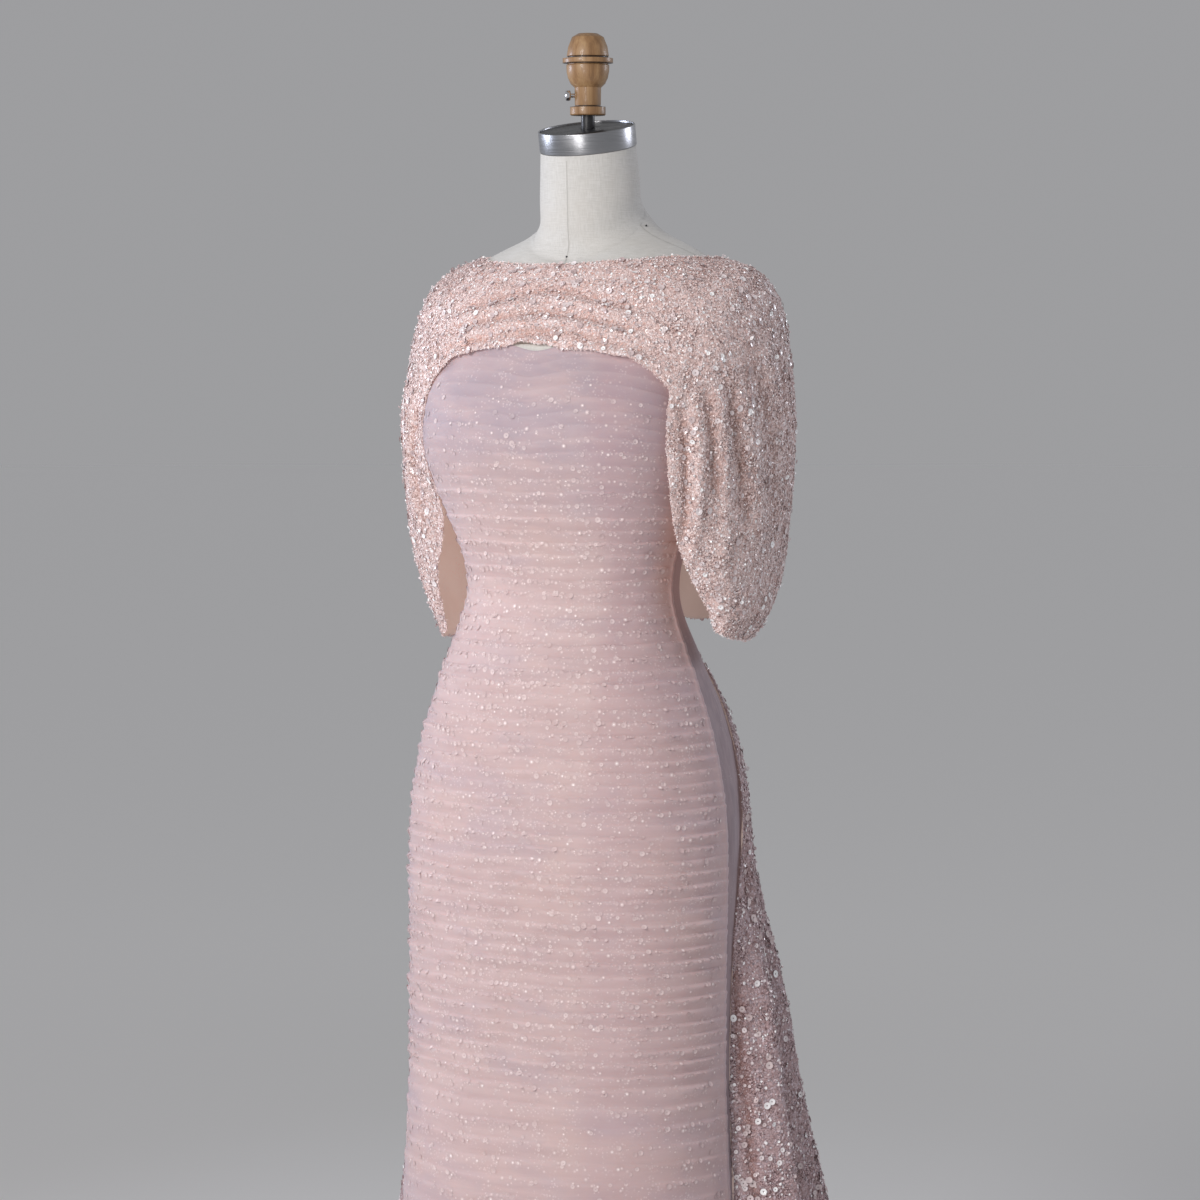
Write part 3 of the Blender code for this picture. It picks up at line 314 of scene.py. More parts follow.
def blurred(field, sigma, axis):
    """A 2-D field smoothed along one axis, keeping its slope at both ends."""
    reach = int(3 * sigma)
    weights = np.exp(-0.5 * (np.arange(-reach, reach + 1) / sigma) ** 2)
    weights /= weights.sum()
    rows = np.moveaxis(field, axis, 0)
    before = 2 * rows[0] - rows[reach:0:-1]
    after = 2 * rows[-1] - rows[-2:-reach - 2:-1]
    padded = np.concatenate([before, rows, after])
    smooth = sum(w * padded[i:i + len(rows)] for i, w in enumerate(weights))
    return np.moveaxis(smooth, 0, axis)


def unit(vectors):
    """The vectors, each made one long."""
    return vectors / np.maximum(np.linalg.norm(vectors, axis=1, keepdims=True), 1e-12)


def bell(x, middle, spread):
    """1 at the middle, falling to nothing a few spreads away."""
    return np.exp(-(((x - middle) / spread) ** 2))


def outward(angle):
    """The level direction away from the pole, at an angle round the body."""
    turn = math.radians(angle)
    return Vector((math.sin(turn), -math.cos(turn), 0.0))


def drawn(name, points, faces):
    """A mesh from plain lists of points and faces."""
    mesh = bpy.data.meshes.new(name)
    mesh.from_pydata(points, [], faces)
    return mesh


def marked(mesh, name, values):
    """Gives a mesh one number at each point, for its material to read."""
    layer = mesh.attributes.new(name, "FLOAT", "POINT")
    layer.data.foreach_set("value", values.astype(np.float32).ravel())


def new_piece(name, mesh, material, replaced=(), smooth=True):
    """A piece that rides on the one body, with its material and the nodes that it stands for."""
    piece = bpy.data.objects.new(name, mesh)
    bpy.context.scene.collection.objects.link(piece)
    mesh.materials.clear()
    mesh.materials.append(material)
    if smooth:
        mesh.shade_smooth()
    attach(piece, "root")
    if replaced:
        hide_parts(*replaced)
    return piece


def applied(piece):
    """The piece with its modifiers made part of its mesh."""
    graph = bpy.context.evaluated_depsgraph_get()
    mesh = bpy.data.meshes.new_from_object(piece.evaluated_get(graph))
    piece.modifiers.clear()
    piece.data = mesh
    return piece


# ---------------------------------------------------------------- skins from the frame's walls


def node_shape(node):
    """A CAD node's mesh as a bmesh of its own, with its loose corners joined."""
    shape = bmesh.new()
    shape.from_mesh(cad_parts[node].data)
    bmesh.ops.remove_doubles(shape, verts=shape.verts, dist=MERGE)
    shape.normal_update()
    return shape


def made_quads(shape):
    """Joins the shape's triangles in pairs, so that it rounds evenly."""
    bmesh.ops.join_triangles(
        shape, faces=shape.faces, angle_face_threshold=math.radians(QUAD_ANGLE),
        angle_shape_threshold=math.radians(QUAD_ANGLE), topology_influence=1.0,
    )
    return shape


def faces_of(wall, widest=60.0):
    """A wall's faces in groups that meet at gentle angles: outer face, inner face and rims."""
    seen = set()
    groups = []
    for start in wall.faces:
        if start in seen:
            continue
        seen.add(start)
        stack = [start]
        group = []
        while stack:
            face = stack.pop()
            group.append(face)
            for edge in face.edges:
                if len(edge.link_faces) == 2 and edge.calc_face_angle() < math.radians(widest):
                    fresh = [f for f in edge.link_faces if f not in seen]
                    seen.update(fresh)
                    stack.extend(fresh)
        groups.append(group)
    return groups


def outwardness(group):
    """How far a group of faces looks away from the pole, weighted by area."""
    total = 0.0
    for face in group:
        middle = face.calc_center_median()
        total += face.calc_area() * face.normal.dot(Vector((middle.x, middle.y, 0.2 * middle.z)))
    return total


def wall_face(nodes, outer=True):
    """The outer or the inner faces of some nodes' walls, joined as one open bmesh of quads."""
    joined = bmesh.new()
    for node in nodes:
        wall = node_shape(node)
        groups = faces_of(wall)
        sign = 1.0 if outer else -1.0
        keep = set(max(groups, key=lambda group: sign * outwardness(group)))
        bmesh.ops.delete(wall, geom=[f for f in wall.faces if f not in keep], context="FACES")
        mesh = bpy.data.meshes.new("wall")
        wall.to_mesh(mesh)
        joined.from_mesh(mesh)
        wall.free()
        bpy.data.meshes.remove(mesh)
    bmesh.ops.remove_doubles(joined, verts=joined.verts, dist=SEAM_MERGE)
    return made_quads(joined)


def refined(name, shape, levels):
    """A mesh from a bmesh, rounded by subdivision."""
    mesh = bpy.data.meshes.new(name)
    shape.to_mesh(mesh)
    shape.free()
    draft = bpy.data.objects.new(name, mesh)
    bpy.context.scene.collection.objects.link(draft)
    rounding = draft.modifiers.new("Round", "SUBSURF")
    rounding.levels = levels
    rounding.render_levels = levels
    rounding.boundary_smooth = "PRESERVE_CORNERS"
    bpy.context.view_layer.update()
    applied(draft)
    fine = draft.data
    bpy.data.objects.remove(draft)
    bpy.data.meshes.remove(mesh)
    return fine


def positions(mesh):
    """The mesh's points as rows."""
    flat = np.empty(len(mesh.vertices) * 3, np.float32)
    mesh.vertices.foreach_get("co", flat)
    return flat.reshape(-1, 3).astype(float)


def vertex_normals(mesh):
    """The normal at each of the mesh's points."""
    flat = np.empty(len(mesh.vertices) * 3, np.float32)
    mesh.vertex_normals.foreach_get("vector", flat)
    return flat.reshape(-1, 3).astype(float)


def triangles(mesh):
    """The mesh's triangles as rows of three points' numbers."""
    mesh.calc_loop_triangles()
    flat = np.empty(len(mesh.loop_triangles) * 3, np.int32)
    mesh.loop_triangles.foreach_get("vertices", flat)
    return flat.reshape(-1, 3)


def moved(mesh, co):
    """Puts the mesh's points at new places."""
    mesh.vertices.foreach_set("co", co.astype(np.float32).ravel())
    mesh.update()


def tree_of(mesh):
    """A mesh made ready for rays and nearest points."""
    return BVHTree.FromPolygons([v.co for v in mesh.vertices], [list(p.vertices) for p in mesh.polygons])


def seen_from_outside(tree, angle, z, centre_y=0.0, start=0.9):
    """Where a level ray from outside, towards the pole's axis, first meets a surface, and the
    surface's normal there."""
    out = outward(angle)
    return tree.ray_cast(Vector((0.0, centre_y, z)) + out * start, -out, start)[:2]


def on_both_sides(creases):
    """The creases, each followed by the other side's like one, which is a little different."""
    for place, crease in enumerate(creases):
        yield crease
        if crease.both:
            shift, change = math.sin(2.4 * place), math.cos(1.7 * place)
            yield crease._replace(
                angle_top=-crease.angle_top - 2.0 * shift, angle_foot=-crease.angle_foot - 3.5 * change,
                z_top=crease.z_top - 0.015 * abs(shift), height=crease.height * (1.0 + 0.25 * change),
            )


def crease_heights(co, tree, creases, centre_y=0.0):
    """Height of all creases at each point."""
    total = np.zeros(len(co))
    for crease in on_both_sides(creases):
        line = []
        for step in range(CREASE_STEPS + 1):
            t = step / CREASE_STEPS
            angle = crease.angle_top + (crease.angle_foot - crease.angle_top) * t
            z = crease.z_top + (crease.z_foot - crease.z_top) * t + crease.rise * 4 * t * (1 - t)
            point = seen_from_outside(tree, angle, z, centre_y)[0] if z > 0.0 else None
            if point is not None:
                line.append((t, np.array(point)))
        nearest = np.full(len(co), 1e9)
        along = np.zeros(len(co))
        for (t0, start), (t1, end) in zip(line, line[1:]):
            run = end - start
            share = np.clip(((co - start) @ run) / max(run @ run, 1e-12), 0.0, 1.0)
            away = np.linalg.norm(co - start - share[:, None] * run, axis=1)
            closer = away < nearest
            nearest = np.where(closer, away, nearest)
            along = np.where(closer, t0 + (t1 - t0) * share, along)
        taper = ease(along, 0.0, 0.25) * (1.0 - ease(along, 0.75, 1.0))
        total += crease.height * taper * np.exp(-((nearest / crease.width) ** 2))
    return total


# ---------------------------------------------------------------- strewn trimmings


def rim_of(sides, height):
    """Points on a circle of unit radius."""
    turns = np.arange(sides) * math.tau / sides
    return np.stack([np.cos(turns), np.sin(turns), np.full(sides, height)], 1)


def ring_shape(sides=10, hole=0.20, cup=0.16):
    """A cupped sequin of unit radius with a hole in its middle."""
    rim = rim_of(sides, cup)
    eye = rim * (hole, hole, 0.0)
    faces = [(i, (i + 1) % sides, sides + (i + 1) % sides, sides + i) for i in range(sides)]
    return np.concatenate([rim, eye]), faces


def disc_shape(sides=7, cup=0.22):
    """A small cupped sequin of unit radius."""
    faces = [(i, (i + 1) % sides, sides) for i in range(sides)]
    return np.concatenate([rim_of(sides, cup), [[0.0, 0.0, 0.0]]]), faces


def dot_shape(sides=6):
    """A flat round spangle of unit radius."""
    return disc_shape(sides, 0.0)


def flake_shape():
    """A cut chip, folded along its length."""
    points = [(-1, 0, 0), (0, -0.58, 0.2), (1, 0, 0), (0, 0.58, 0.2)]
    return np.array(points, float), [(0, 1, 2, 3)]


def grain_shape():
    """A cut bead, longer than wide."""
    points = [(1, 0, 0), (-1, 0, 0), (0.1, 0.34, 0), (-0.1, -0.34, 0), (0, 0, 0.34), (0, 0, -0.34)]
    faces = [(0, 2, 4), (2, 1, 4), (1, 3, 4), (3, 0, 4), (2, 0, 5), (1, 2, 5), (3, 1, 5), (0, 3, 5)]
    return np.array(points, float), faces


def bead_shape(sides=5):
    """A small round bead of unit radius."""
    points = np.concatenate([rim_of(sides, 0.0), [[0, 0, 0.9], [0, 0, -0.9]]])
    faces = [(i, (i + 1) % sides, sides) for i in range(sides)]
    faces += [((i + 1) % sides, i, sides + 1) for i in range(sides)]
    return points, faces


SHAPES = {
    "ring": ring_shape(), "disc": disc_shape(), "dot": dot_shape(),
    "flake": flake_shape(), "grain": grain_shape(), "bead": bead_shape(),
}


def sampled(co, normals, tris, crease_shade, count, rng):
    """Random points over a surface, with their normals and how deep in a crease they lie."""
    a, b, c = co[tris[:, 0]], co[tris[:, 1]], co[tris[:, 2]]
    area = np.linalg.norm(np.cross(b - a, c - a), axis=1)
    chosen = rng.choice(len(tris), size=count, p=area / area.sum())
    u, v = rng.random(count), rng.random(count)
    flip = u + v > 1
    u, v = np.where(flip, 1 - u, u), np.where(flip, 1 - v, v)
    shares = np.stack([1 - u - v, u, v], 1)[:, :, None]
    points = (co[tris[chosen]] * shares).sum(axis=1)
    facing = unit((normals[tris[chosen]] * shares).sum(axis=1))
    return points, facing, (crease_shade[tris[chosen]] * shares[:, :, 0]).sum(axis=1)


def set_in_place(shape, points, normals, sizes, lean, rng):
    """Copies of a shape at points, turned at random and leaning from the cloth's normal."""
    vertices, faces = shape
    count = len(points)
    helper = np.where(np.abs(normals[:, 2:3]) > 0.9, [[1.0, 0.0, 0.0]], [[0.0, 0.0, 1.0]])
    level = unit(np.cross(helper, normals))
    upward = np.cross(normals, level)
    spin = rng.uniform(0, math.tau, count)[:, None]
    x = level * np.cos(spin) + upward * np.sin(spin)
    y = -level * np.sin(spin) + upward * np.cos(spin)
    tilt = np.radians(rng.normal(0.0, lean / 2, count))[:, None]
    x, z = x * np.cos(tilt) + normals * np.sin(tilt), normals * np.cos(tilt) - x * np.sin(tilt)
    scale = sizes[:, None, None]
    placed = (
        vertices[None, :, 0:1] * x[:, None] + vertices[None, :, 1:2] * y[:, None]
        + vertices[None, :, 2:3] * z[:, None]
    ) * scale + points[:, None]
    first = np.arange(count) * len(vertices)
    corners = (np.array(faces)[None] + first[:, None, None]).reshape(-1, len(faces[0]))
    return placed.reshape(-1, 3), corners, np.repeat(np.arange(count), len(vertices))


def random_sizes(kind, count, rng):
    """Sizes for one kind of trimming, small ones more often than large."""
    return kind.small + (kind.large - kind.small) * rng.random(count) ** 2


def random_tints(kind, count, rng):
    """Tints from a kind's least up, over its spread."""
    return rng.random(count) * kind.tint[1] + kind.tint[0]


def joined_piece(name, parts, material, floor=None):
    """One mesh of many small copies: (points, faces, tint of each point)."""
    points, faces, tints = [], [], []
    offset = 0
    for placed, corners, tint in parts:
        points.append(placed)
        faces += (corners + offset).tolist()
        tints.append(tint)
        offset += len(placed)
    points = np.concatenate(points)
    if floor is not None:
        points[:, 2] = np.maximum(points[:, 2], floor)
    mesh = drawn(name, points.tolist(), faces)
    marked(mesh, "tint", np.concatenate(tints))
    return new_piece(name, mesh, material, smooth=False)


def strewn_piece(name, base, kinds, seed, material, floor=None):
    """Several kinds of trimming strewn over a surface, each copy with its own random tint, and
    painted darker in the hollows of the creases, as shade."""
    rng = np.random.default_rng(seed)
    parts = []
    for kind in kinds:
        points, facing, crease_shade = sampled(*base, kind.count, rng)
        sizes = random_sizes(kind, kind.count, rng)
        placed, corners, owner = set_in_place(
            SHAPES[kind.kind], points + facing * kind.lift, facing, sizes, kind.lean, rng
        )
        # painted shade: a trimming deep in a crease gets a lower tint, and so a darker colour
        tint = random_tints(kind, kind.count, rng) * (1.0 - CREASE_SHADE_STRENGTH * crease_shade)
        parts.append((placed, corners, tint[owner]))
    return joined_piece(name, parts, material, floor)


# ---------------------------------------------------------------- materials


class Shader:
    """A material whose nodes are made by name and wired as they are made."""

    def __init__(self, name, colour, roughness, metallic=0.0, **sockets):
        self.material = bpy.data.materials.new(name)
        self.material.use_nodes = True
        self.tree = self.material.node_tree
        self.principled = self.tree.nodes["Principled BSDF"]
        self.set("Base Color", (*colour, 1.0))
        self.set("Roughness", roughness)
        self.set("Metallic", metallic)
        for key, value in sockets.items():
            self.set(key.replace("_", " "), value)
        self.place = self.node("ShaderNodeTexCoord").outputs["Object"]

    def set(self, socket, value):
        """A plain value, or a link, for one of the Principled shader's sockets."""
        self.join(value, self.principled.inputs[socket])

    def join(self, value, socket):
        if isinstance(value, bpy.types.NodeSocket):
            self.tree.links.new(value, socket)
        else:
            socket.default_value = value

    def node(self, kind, **settings):
        made = self.tree.nodes.new(kind)
        for key, value in settings.items():
            setattr(made, key, value)
        return made

    def stretched(self, level, upright):
        """The place on the cloth, taken times one number level and another upright."""
        mapping = self.node("ShaderNodeMapping")
        self.join(self.place, mapping.inputs["Vector"])
        mapping.inputs["Scale"].default_value = (level, level, upright)
        return mapping.outputs["Vector"]

    def grain(self, level, upright, detail=2.0, roughness=0.5):
        """Noise of one fineness round the piece and another up and down it."""
        return self.noise(1.0, detail, roughness, self.stretched(level, upright))

    def noise(self, scale, detail=2.0, roughness=0.5, place=None, output="Fac"):
        made = self.node("ShaderNodeTexNoise")
        self.join(place or self.place, made.inputs["Vector"])
        made.inputs["Scale"].default_value = scale
        made.inputs["Detail"].default_value = detail
        made.inputs["Roughness"].default_value = roughness
        return made.outputs[output]

    def cells(self, scale, feature="F1", output="Distance", place=None):
        made = self.node("ShaderNodeTexVoronoi", feature=feature)
        self.join(place or self.place, made.inputs["Vector"])
        made.inputs["Scale"].default_value = scale
        return made.outputs[output]

    def maths(self, operation, *values):
        made = self.node("ShaderNodeMath", operation=operation)
        for value, socket in zip(values, made.inputs):
            self.join(value, socket)
        return made.outputs[0]

    def vector(self, operation, *values):
        made = self.node("ShaderNodeVectorMath", operation=operation)
        for value, socket in zip(values, made.inputs):
            self.join(value, socket)
        return made.outputs[0]

    def measured(self, operation, vector):
        """One number from a vector, such as its length."""
        made = self.node("ShaderNodeVectorMath", operation=operation)
        self.join(vector, made.inputs[0])
        return made.outputs["Value"]

    def scaled(self, vector, factor):
        made = self.node("ShaderNodeVectorMath", operation="SCALE")
        self.join(vector, made.inputs[0])
        self.join(factor, made.inputs["Scale"])
        return made.outputs[0]

    def within(self, value, low, high, to_low=0.0, to_high=1.0):
        """A value's place between low and high, smoothly turned to another range."""
        made = self.node("ShaderNodeMapRange", interpolation_type="SMOOTHSTEP")
        for socket, number in zip(made.inputs, (value, low, high, to_low, to_high)):
            self.join(number, socket)
        return made.outputs[0]

    def mixed(self, share, first, second, blend="MIX"):
        made = self.node("ShaderNodeMix", data_type="RGBA", blend_type=blend)
        self.join(share, made.inputs["Factor"])
        sockets = [s for s in made.inputs if s.type == "RGBA"]
        for value, socket in zip((first, second), sockets):
            self.join(value if isinstance(value, bpy.types.NodeSocket) else (*value, 1.0), socket)
        return next(s for s in made.outputs if s.type == "RGBA")

    def ramp(self, value, *stops):
        """A colour ramp from (place, colour) stops."""
        made = self.node("ShaderNodeValToRGB")
        self.join(value, made.inputs["Fac"])
        points = made.color_ramp.elements
        while len(points) < len(stops):
            points.new(0.5)
        for point, (place, colour) in zip(points, stops):
            point.position = place
            point.color = (*colour, 1.0)
        return made.outputs["Color"]

    def axes(self):
        """The place's X, Y and Z."""
        split = self.node("ShaderNodeSeparateXYZ")
        self.join(self.place, split.inputs[0])
        return split.outputs

    def attribute(self, name):
        return self.node("ShaderNodeAttribute", attribute_name=name).outputs["Fac"]

    def bump(self, height, strength, distance, normal=None):
        made = self.node("ShaderNodeBump")
        made.inputs["Strength"].default_value = strength
        made.inputs["Distance"].default_value = distance
        self.join(height, made.inputs["Height"])
        if normal is not None:
            self.join(normal, made.inputs["Normal"])
        return made.outputs["Normal"]

    def parts(self, colour):
        """A colour's red, green and blue, as three numbers."""
        split = self.node("ShaderNodeSeparateColor")
        self.join(colour, split.inputs[0])
        return split.outputs


def tulle_colour(s):
    """Sheer blush tulle: soft bands and clouds; painted shade as a mauve top and a darker mauve side, and
    painted light as a warm glow at one side edge.
    """
    streaks = s.within(s.grain(7.0, 75.0, 4.0, 0.6), 0.30, 0.72)
    colour = s.mixed(streaks, (0.55, 0.405, 0.403), (0.62, 0.470, 0.463))
    warm = s.within(s.noise(13.0, 3.0, 0.6), 0.45, 0.70, 0.0, 0.30)
    colour = s.mixed(warm, colour, (0.64, 0.470, 0.435))
    cool = s.within(s.noise(9.0, 3.0, 0.6, s.stretched(1.0, 2.5)), 0.48, 0.70, 0.0, 0.35)
    colour = s.mixed(cool, colour, (0.48, 0.390, 0.440))
    x, y, z = s.axes()
    # painted shade: darker mauve clouds over the top of the bodice
    top_shade_clouds = s.within(s.noise(16.0, 3.0, 0.6, s.stretched(1.0, 3.5)), 0.28, 0.66, 0.35, 0.85)
    colour = s.mixed(s.maths("MULTIPLY", s.within(z, 1.10, 1.24), top_shade_clouds), colour, (0.40, 0.325, 0.370))
    # painted shade: the wearer's left side darker and mauve, as on the side away from the key light
    side = s.maths("MULTIPLY", s.within(x, 0.062, 0.088), s.within(z, 0.78, 1.00, 0.22, 0.40))
    colour = s.mixed(side, colour, (0.49, 0.330, 0.355))
    # painted light: a warm glow, as of light through the layers, near the side seam on the wearer's left
    # at the waist
    back = s.maths("MULTIPLY_ADD", z, 0.12, y)  # the warmth starts further back at the waist
    edge = s.maths("MULTIPLY", s.within(x, 0.05, 0.10), s.within(back, 0.050, 0.080))
    edge = s.maths("MULTIPLY", edge, s.within(z, 0.92, 1.06, 0.0, 0.55))
    return s.mixed(edge, colour, (0.74, 0.480, 0.415))


def tulle_material():
    """Pleated tulle over a sequinned layer, with the layer's faint dots, a cool sheen, and a painted
    highlight along each side seam's ridge.
    """
    s = Shader("Pleated tulle", (0.57, 0.42, 0.42), 0.62)
    s.set("Subsurface Weight", 0.35)
    s.set("Subsurface Radius", (1.0, 0.6, 0.5))
    s.set("Subsurface Scale", 0.004)
    s.set("Sheen Weight", 0.28)
    s.set("Sheen Roughness", 0.35)
    s.set("Sheen Tint", (0.78, 0.80, 1.0, 1.0))
    s.set("Specular IOR Level", 0.22)
    # the fold mark: pleat crests a little lighter where the tulle lies doubled, and a painted highlight
    # along each side seam's ridge
    colour = s.mixed(s.maths("MULTIPLY", s.attribute("fold"), 0.14), tulle_colour(s), (0.70, 0.58, 0.60))
    dots = s.within(s.cells(300.0), 0.12, 0.42, 1.0, 0.0)
    pick = s.within(s.noise(48.0, 2.0, 0.6), 0.46, 0.62, 0.0, 0.40)
    colour = s.mixed(s.maths("MULTIPLY", dots, pick), colour, (0.80, 0.69, 0.69))
    s.set("Base Color", colour)
    threads = s.grain(500.0, 2600.0, 2.0, 0.5)
    s.set("Normal", s.bump(s.maths("ADD", threads, s.maths("MULTIPLY", dots, 0.8)), 0.20, 0.0004))
    return s.material


def plain_tulle_material():
    """Plain tulle in several layers, greyer than the front and painted darker as shade."""
    # painted shade: the whole colour is set darker than the front's, for its place on the shaded side
    s = Shader("Plain tulle", (0.29, 0.21, 0.225), 0.66)
    s.set("Sheen Weight", 0.30)
    s.set("Sheen Roughness", 0.4)
    s.set("Sheen Tint", (0.84, 0.84, 1.0, 1.0))
    grain = s.grain(160.0, 26.0, 3.0, 0.6)
    colour = s.mixed(s.within(grain, 0.3, 0.7), (0.25, 0.180, 0.198), (0.33, 0.242, 0.258))
    colour = s.mixed(s.within(s.noise(9.0, 2.0), 0.35, 0.65, 0.0, 0.4), colour, (0.37, 0.262, 0.268))
    above = s.within(s.axes()["Z"], 0.98, 1.05, 0.0, 0.8)  # warmer under the cape
    colour = s.mixed(above, colour, (0.46, 0.290, 0.265))
    # the net's small glitter, painted pale as glints
    sparkle = s.within(s.cells(420.0), 0.10, 0.24, 1.0, 0.0)
    pick = s.within(s.noise(75.0, 1.0), 0.56, 0.64, 0.0, 0.55)
    s.set("Base Color", s.mixed(s.maths("MULTIPLY", sparkle, pick), colour, (0.90, 0.82, 0.84)))
    s.set("Normal", s.bump(s.noise(900.0, 1.0), 0.25, 0.0003))
    return s.material


def shaded(shade, *colour):
    """A colour taken times a shade."""
    return tuple(part * tone for part, tone in zip(colour, shade))


def lace_material(name, shade):
    """Net crowded with chips: each cell has its own tone and tilt; the gaps between them and the open
    net's holes are painted dark as shade, and the creases' troughs a warm brown as shade.
    """
    own = partial(shaded, shade)
    s = Shader(name, own(0.80, 0.62, 0.59), 0.42)
    s.set("Specular IOR Level", 0.65)
    noise = s.noise(120.0, 2.0, 0.6, output="Color")
    place = s.vector("ADD", s.place, s.scaled(s.vector("SUBTRACT", noise, (0.5, 0.5, 0.5)), 0.005))
    chips = s.cells(430.0, "F1", "Color", place)
    inside = s.within(s.cells(430.0, "DISTANCE_TO_EDGE", "Distance", place), 0.02, 0.15)
    random = s.parts(chips)
    tone = s.ramp(
        random[0], (0.0, own(0.68, 0.49, 0.46)),
        (0.35, own(0.80, 0.60, 0.57)), (0.70, own(0.88, 0.71, 0.69)),
        (1.0, own(0.96, 0.86, 0.87)),
    )
    outer = s.within(s.maths("ABSOLUTE", s.axes()["X"]), 0.07, 0.19, 0.30, 1.0)
    open_net = s.maths("MULTIPLY", s.within(s.noise(34.0, 3.0, 0.62), 0.47, 0.62), outer)
    # painted shade: the gaps between the chips darkened, more so where the net is open at the sides
    gap_shade = s.maths(
        "MULTIPLY", s.maths("SUBTRACT", 1.0, inside), s.maths("MULTIPLY_ADD", open_net, 0.45, 0.28)
    )
    colour = s.mixed(gap_shade, tone, own(0.40, 0.235, 0.205))
    # painted shade: holes in the open net painted dark, as the shade seen through them
    specks = s.parts(s.cells(820.0, "F1", "Color"))[0]
    hole_shade = s.maths("MULTIPLY", s.within(specks, 0.22, 0.32, 1.0, 0.0), open_net)
    colour = s.mixed(hole_shade, colour, own(0.19, 0.105, 0.105))
    # painted shade: the creases' troughs mixed towards a warm brown
    crease_shade = s.maths("MULTIPLY", s.attribute("crease_shade"), 0.70)
    s.set("Base Color", s.mixed(crease_shade, colour, own(0.52, 0.27, 0.21)))
    s.set("Roughness", s.within(random[1], 0.0, 1.0, 0.20, 0.66))
    tilt = s.scaled(s.vector("SUBTRACT", chips, (0.5, 0.5, 0.5)), 0.8)
    normal = s.node("ShaderNodeNewGeometry").outputs["Normal"]
    tilted = s.vector("NORMALIZE", s.vector("ADD", normal, tilt))
    s.set("Normal", s.bump(inside, 0.6, 0.0008, tilted))
    return s.material


def lining_material():
    """The lace's inner side: smooth blush net, with the chips' threads as small specks; a painted glow
    for the light that comes through the net, and painted shade towards the wearer's left.
    """
    s = Shader("Lace lining", (0.80, 0.66, 0.60), 0.60)
    s.set("Emission Color", (0.84, 0.66, 0.58, 1.0))
    s.set("Emission Strength", 0.24)  # light that comes through the net
    s.set("Sheen Weight", 0.25)
    colour = s.mixed(s.within(s.noise(16.0, 3.0), 0.35, 0.65), (0.84, 0.69, 0.62), (0.92, 0.80, 0.74))
    speck = s.within(s.cells(520.0), 0.10, 0.26, 1.0, 0.0)
    pick = s.within(s.noise(60.0, 2.0), 0.50, 0.62, 0.0, 0.55)
    colour = s.mixed(s.maths("MULTIPLY", speck, pick), colour, (0.42, 0.26, 0.22))
    # painted shade: darker towards the wearer's left side
    shaded_side = s.within(s.axes()["X"], -0.04, 0.10, 0.0, 0.75)
    s.set("Base Color", s.mixed(shaded_side, colour, (0.27, 0.145, 0.130)))
    s.set("Normal", s.bump(s.noise(700.0, 2.0), 0.20, 0.0003))
    return s.material


def chips_material(name, shade):
    """Cut chips and seed beads by each one's own tint, blush to white; the least, among them the chips
    painted darker as shade in the creases, are dark at the sides, where the net is open, and peach in the
    middle."""
    own = partial(shaded, shade)
    s = Shader(name, own(0.84, 0.67, 0.64), 0.34)
    tint = s.attribute("tint")
    colour = s.ramp(
        tint, (0.0, own(0.30, 0.18, 0.165)), (0.09, own(0.46, 0.30, 0.275)),
        (0.17, own(0.74, 0.55, 0.515)), (0.60, own(0.86, 0.69, 0.665)),
        (0.86, own(0.94, 0.83, 0.83)), (1.0, (1.0, 0.98, 0.99)),
    )
    # the lowest tints, which carry the creases' painted shade, turn peach in the middle and stay dark at
    # the sides
    middle = s.within(s.maths("ABSOLUTE", s.axes()["X"]), 0.09, 0.17, 1.0, 0.0)
    peach = s.maths("MULTIPLY", middle, s.within(tint, 0.10, 0.24, 0.85, 0.0))
    s.set("Base Color", s.mixed(peach, colour, own(0.80, 0.49, 0.42)))
    s.set("Roughness", s.within(s.noise(500.0, 1.0), 0.3, 0.7, 0.18, 0.50))
    s.set("Specular IOR Level", 0.70)
    return s.material


def pearl_material():
    """Clear to pearly plastic: matt grey-pink below, white and glossy above, by its tint."""
    s = Shader("Pearl sequins", (0.86, 0.80, 0.81), 0.16)
    tint = s.attribute("tint")
    s.set("Base Color", s.ramp(
        tint, (0.0, (0.50, 0.38, 0.38)), (0.50, (0.72, 0.60, 0.60)), (0.76, (0.84, 0.76, 0.77)),
        (0.88, (0.97, 0.95, 0.96)), (1.0, (1.0, 1.0, 1.0)),
    ))
    s.set("Roughness", s.within(s.noise(300.0, 1.0), 0.3, 0.7, 0.10, 0.28))
    s.set("Specular IOR Level", 0.60)
    s.set("Coat Weight", 0.35)
    s.set("Coat Roughness", 0.08)
    return s.material


def veiled_material():
    """Sequins seen through tulle: each fades from its pale middle to the tulle's own colour."""
    s = Shader("Veiled sequins", (0.72, 0.59, 0.59), 0.50)
    tint = s.attribute("tint")
    pale = s.mixed(s.within(tint, 0.5, 0.9), (0.84, 0.71, 0.70), (1.0, 0.96, 0.98))
    s.set("Base Color", s.mixed(s.within(tint, 0.0, 0.8), tulle_colour(s), pale))
    s.set("Roughness", s.within(tint, 0.5, 1.0, 0.60, 0.30))
    s.set("Specular IOR Level", 0.35)
    return s.material


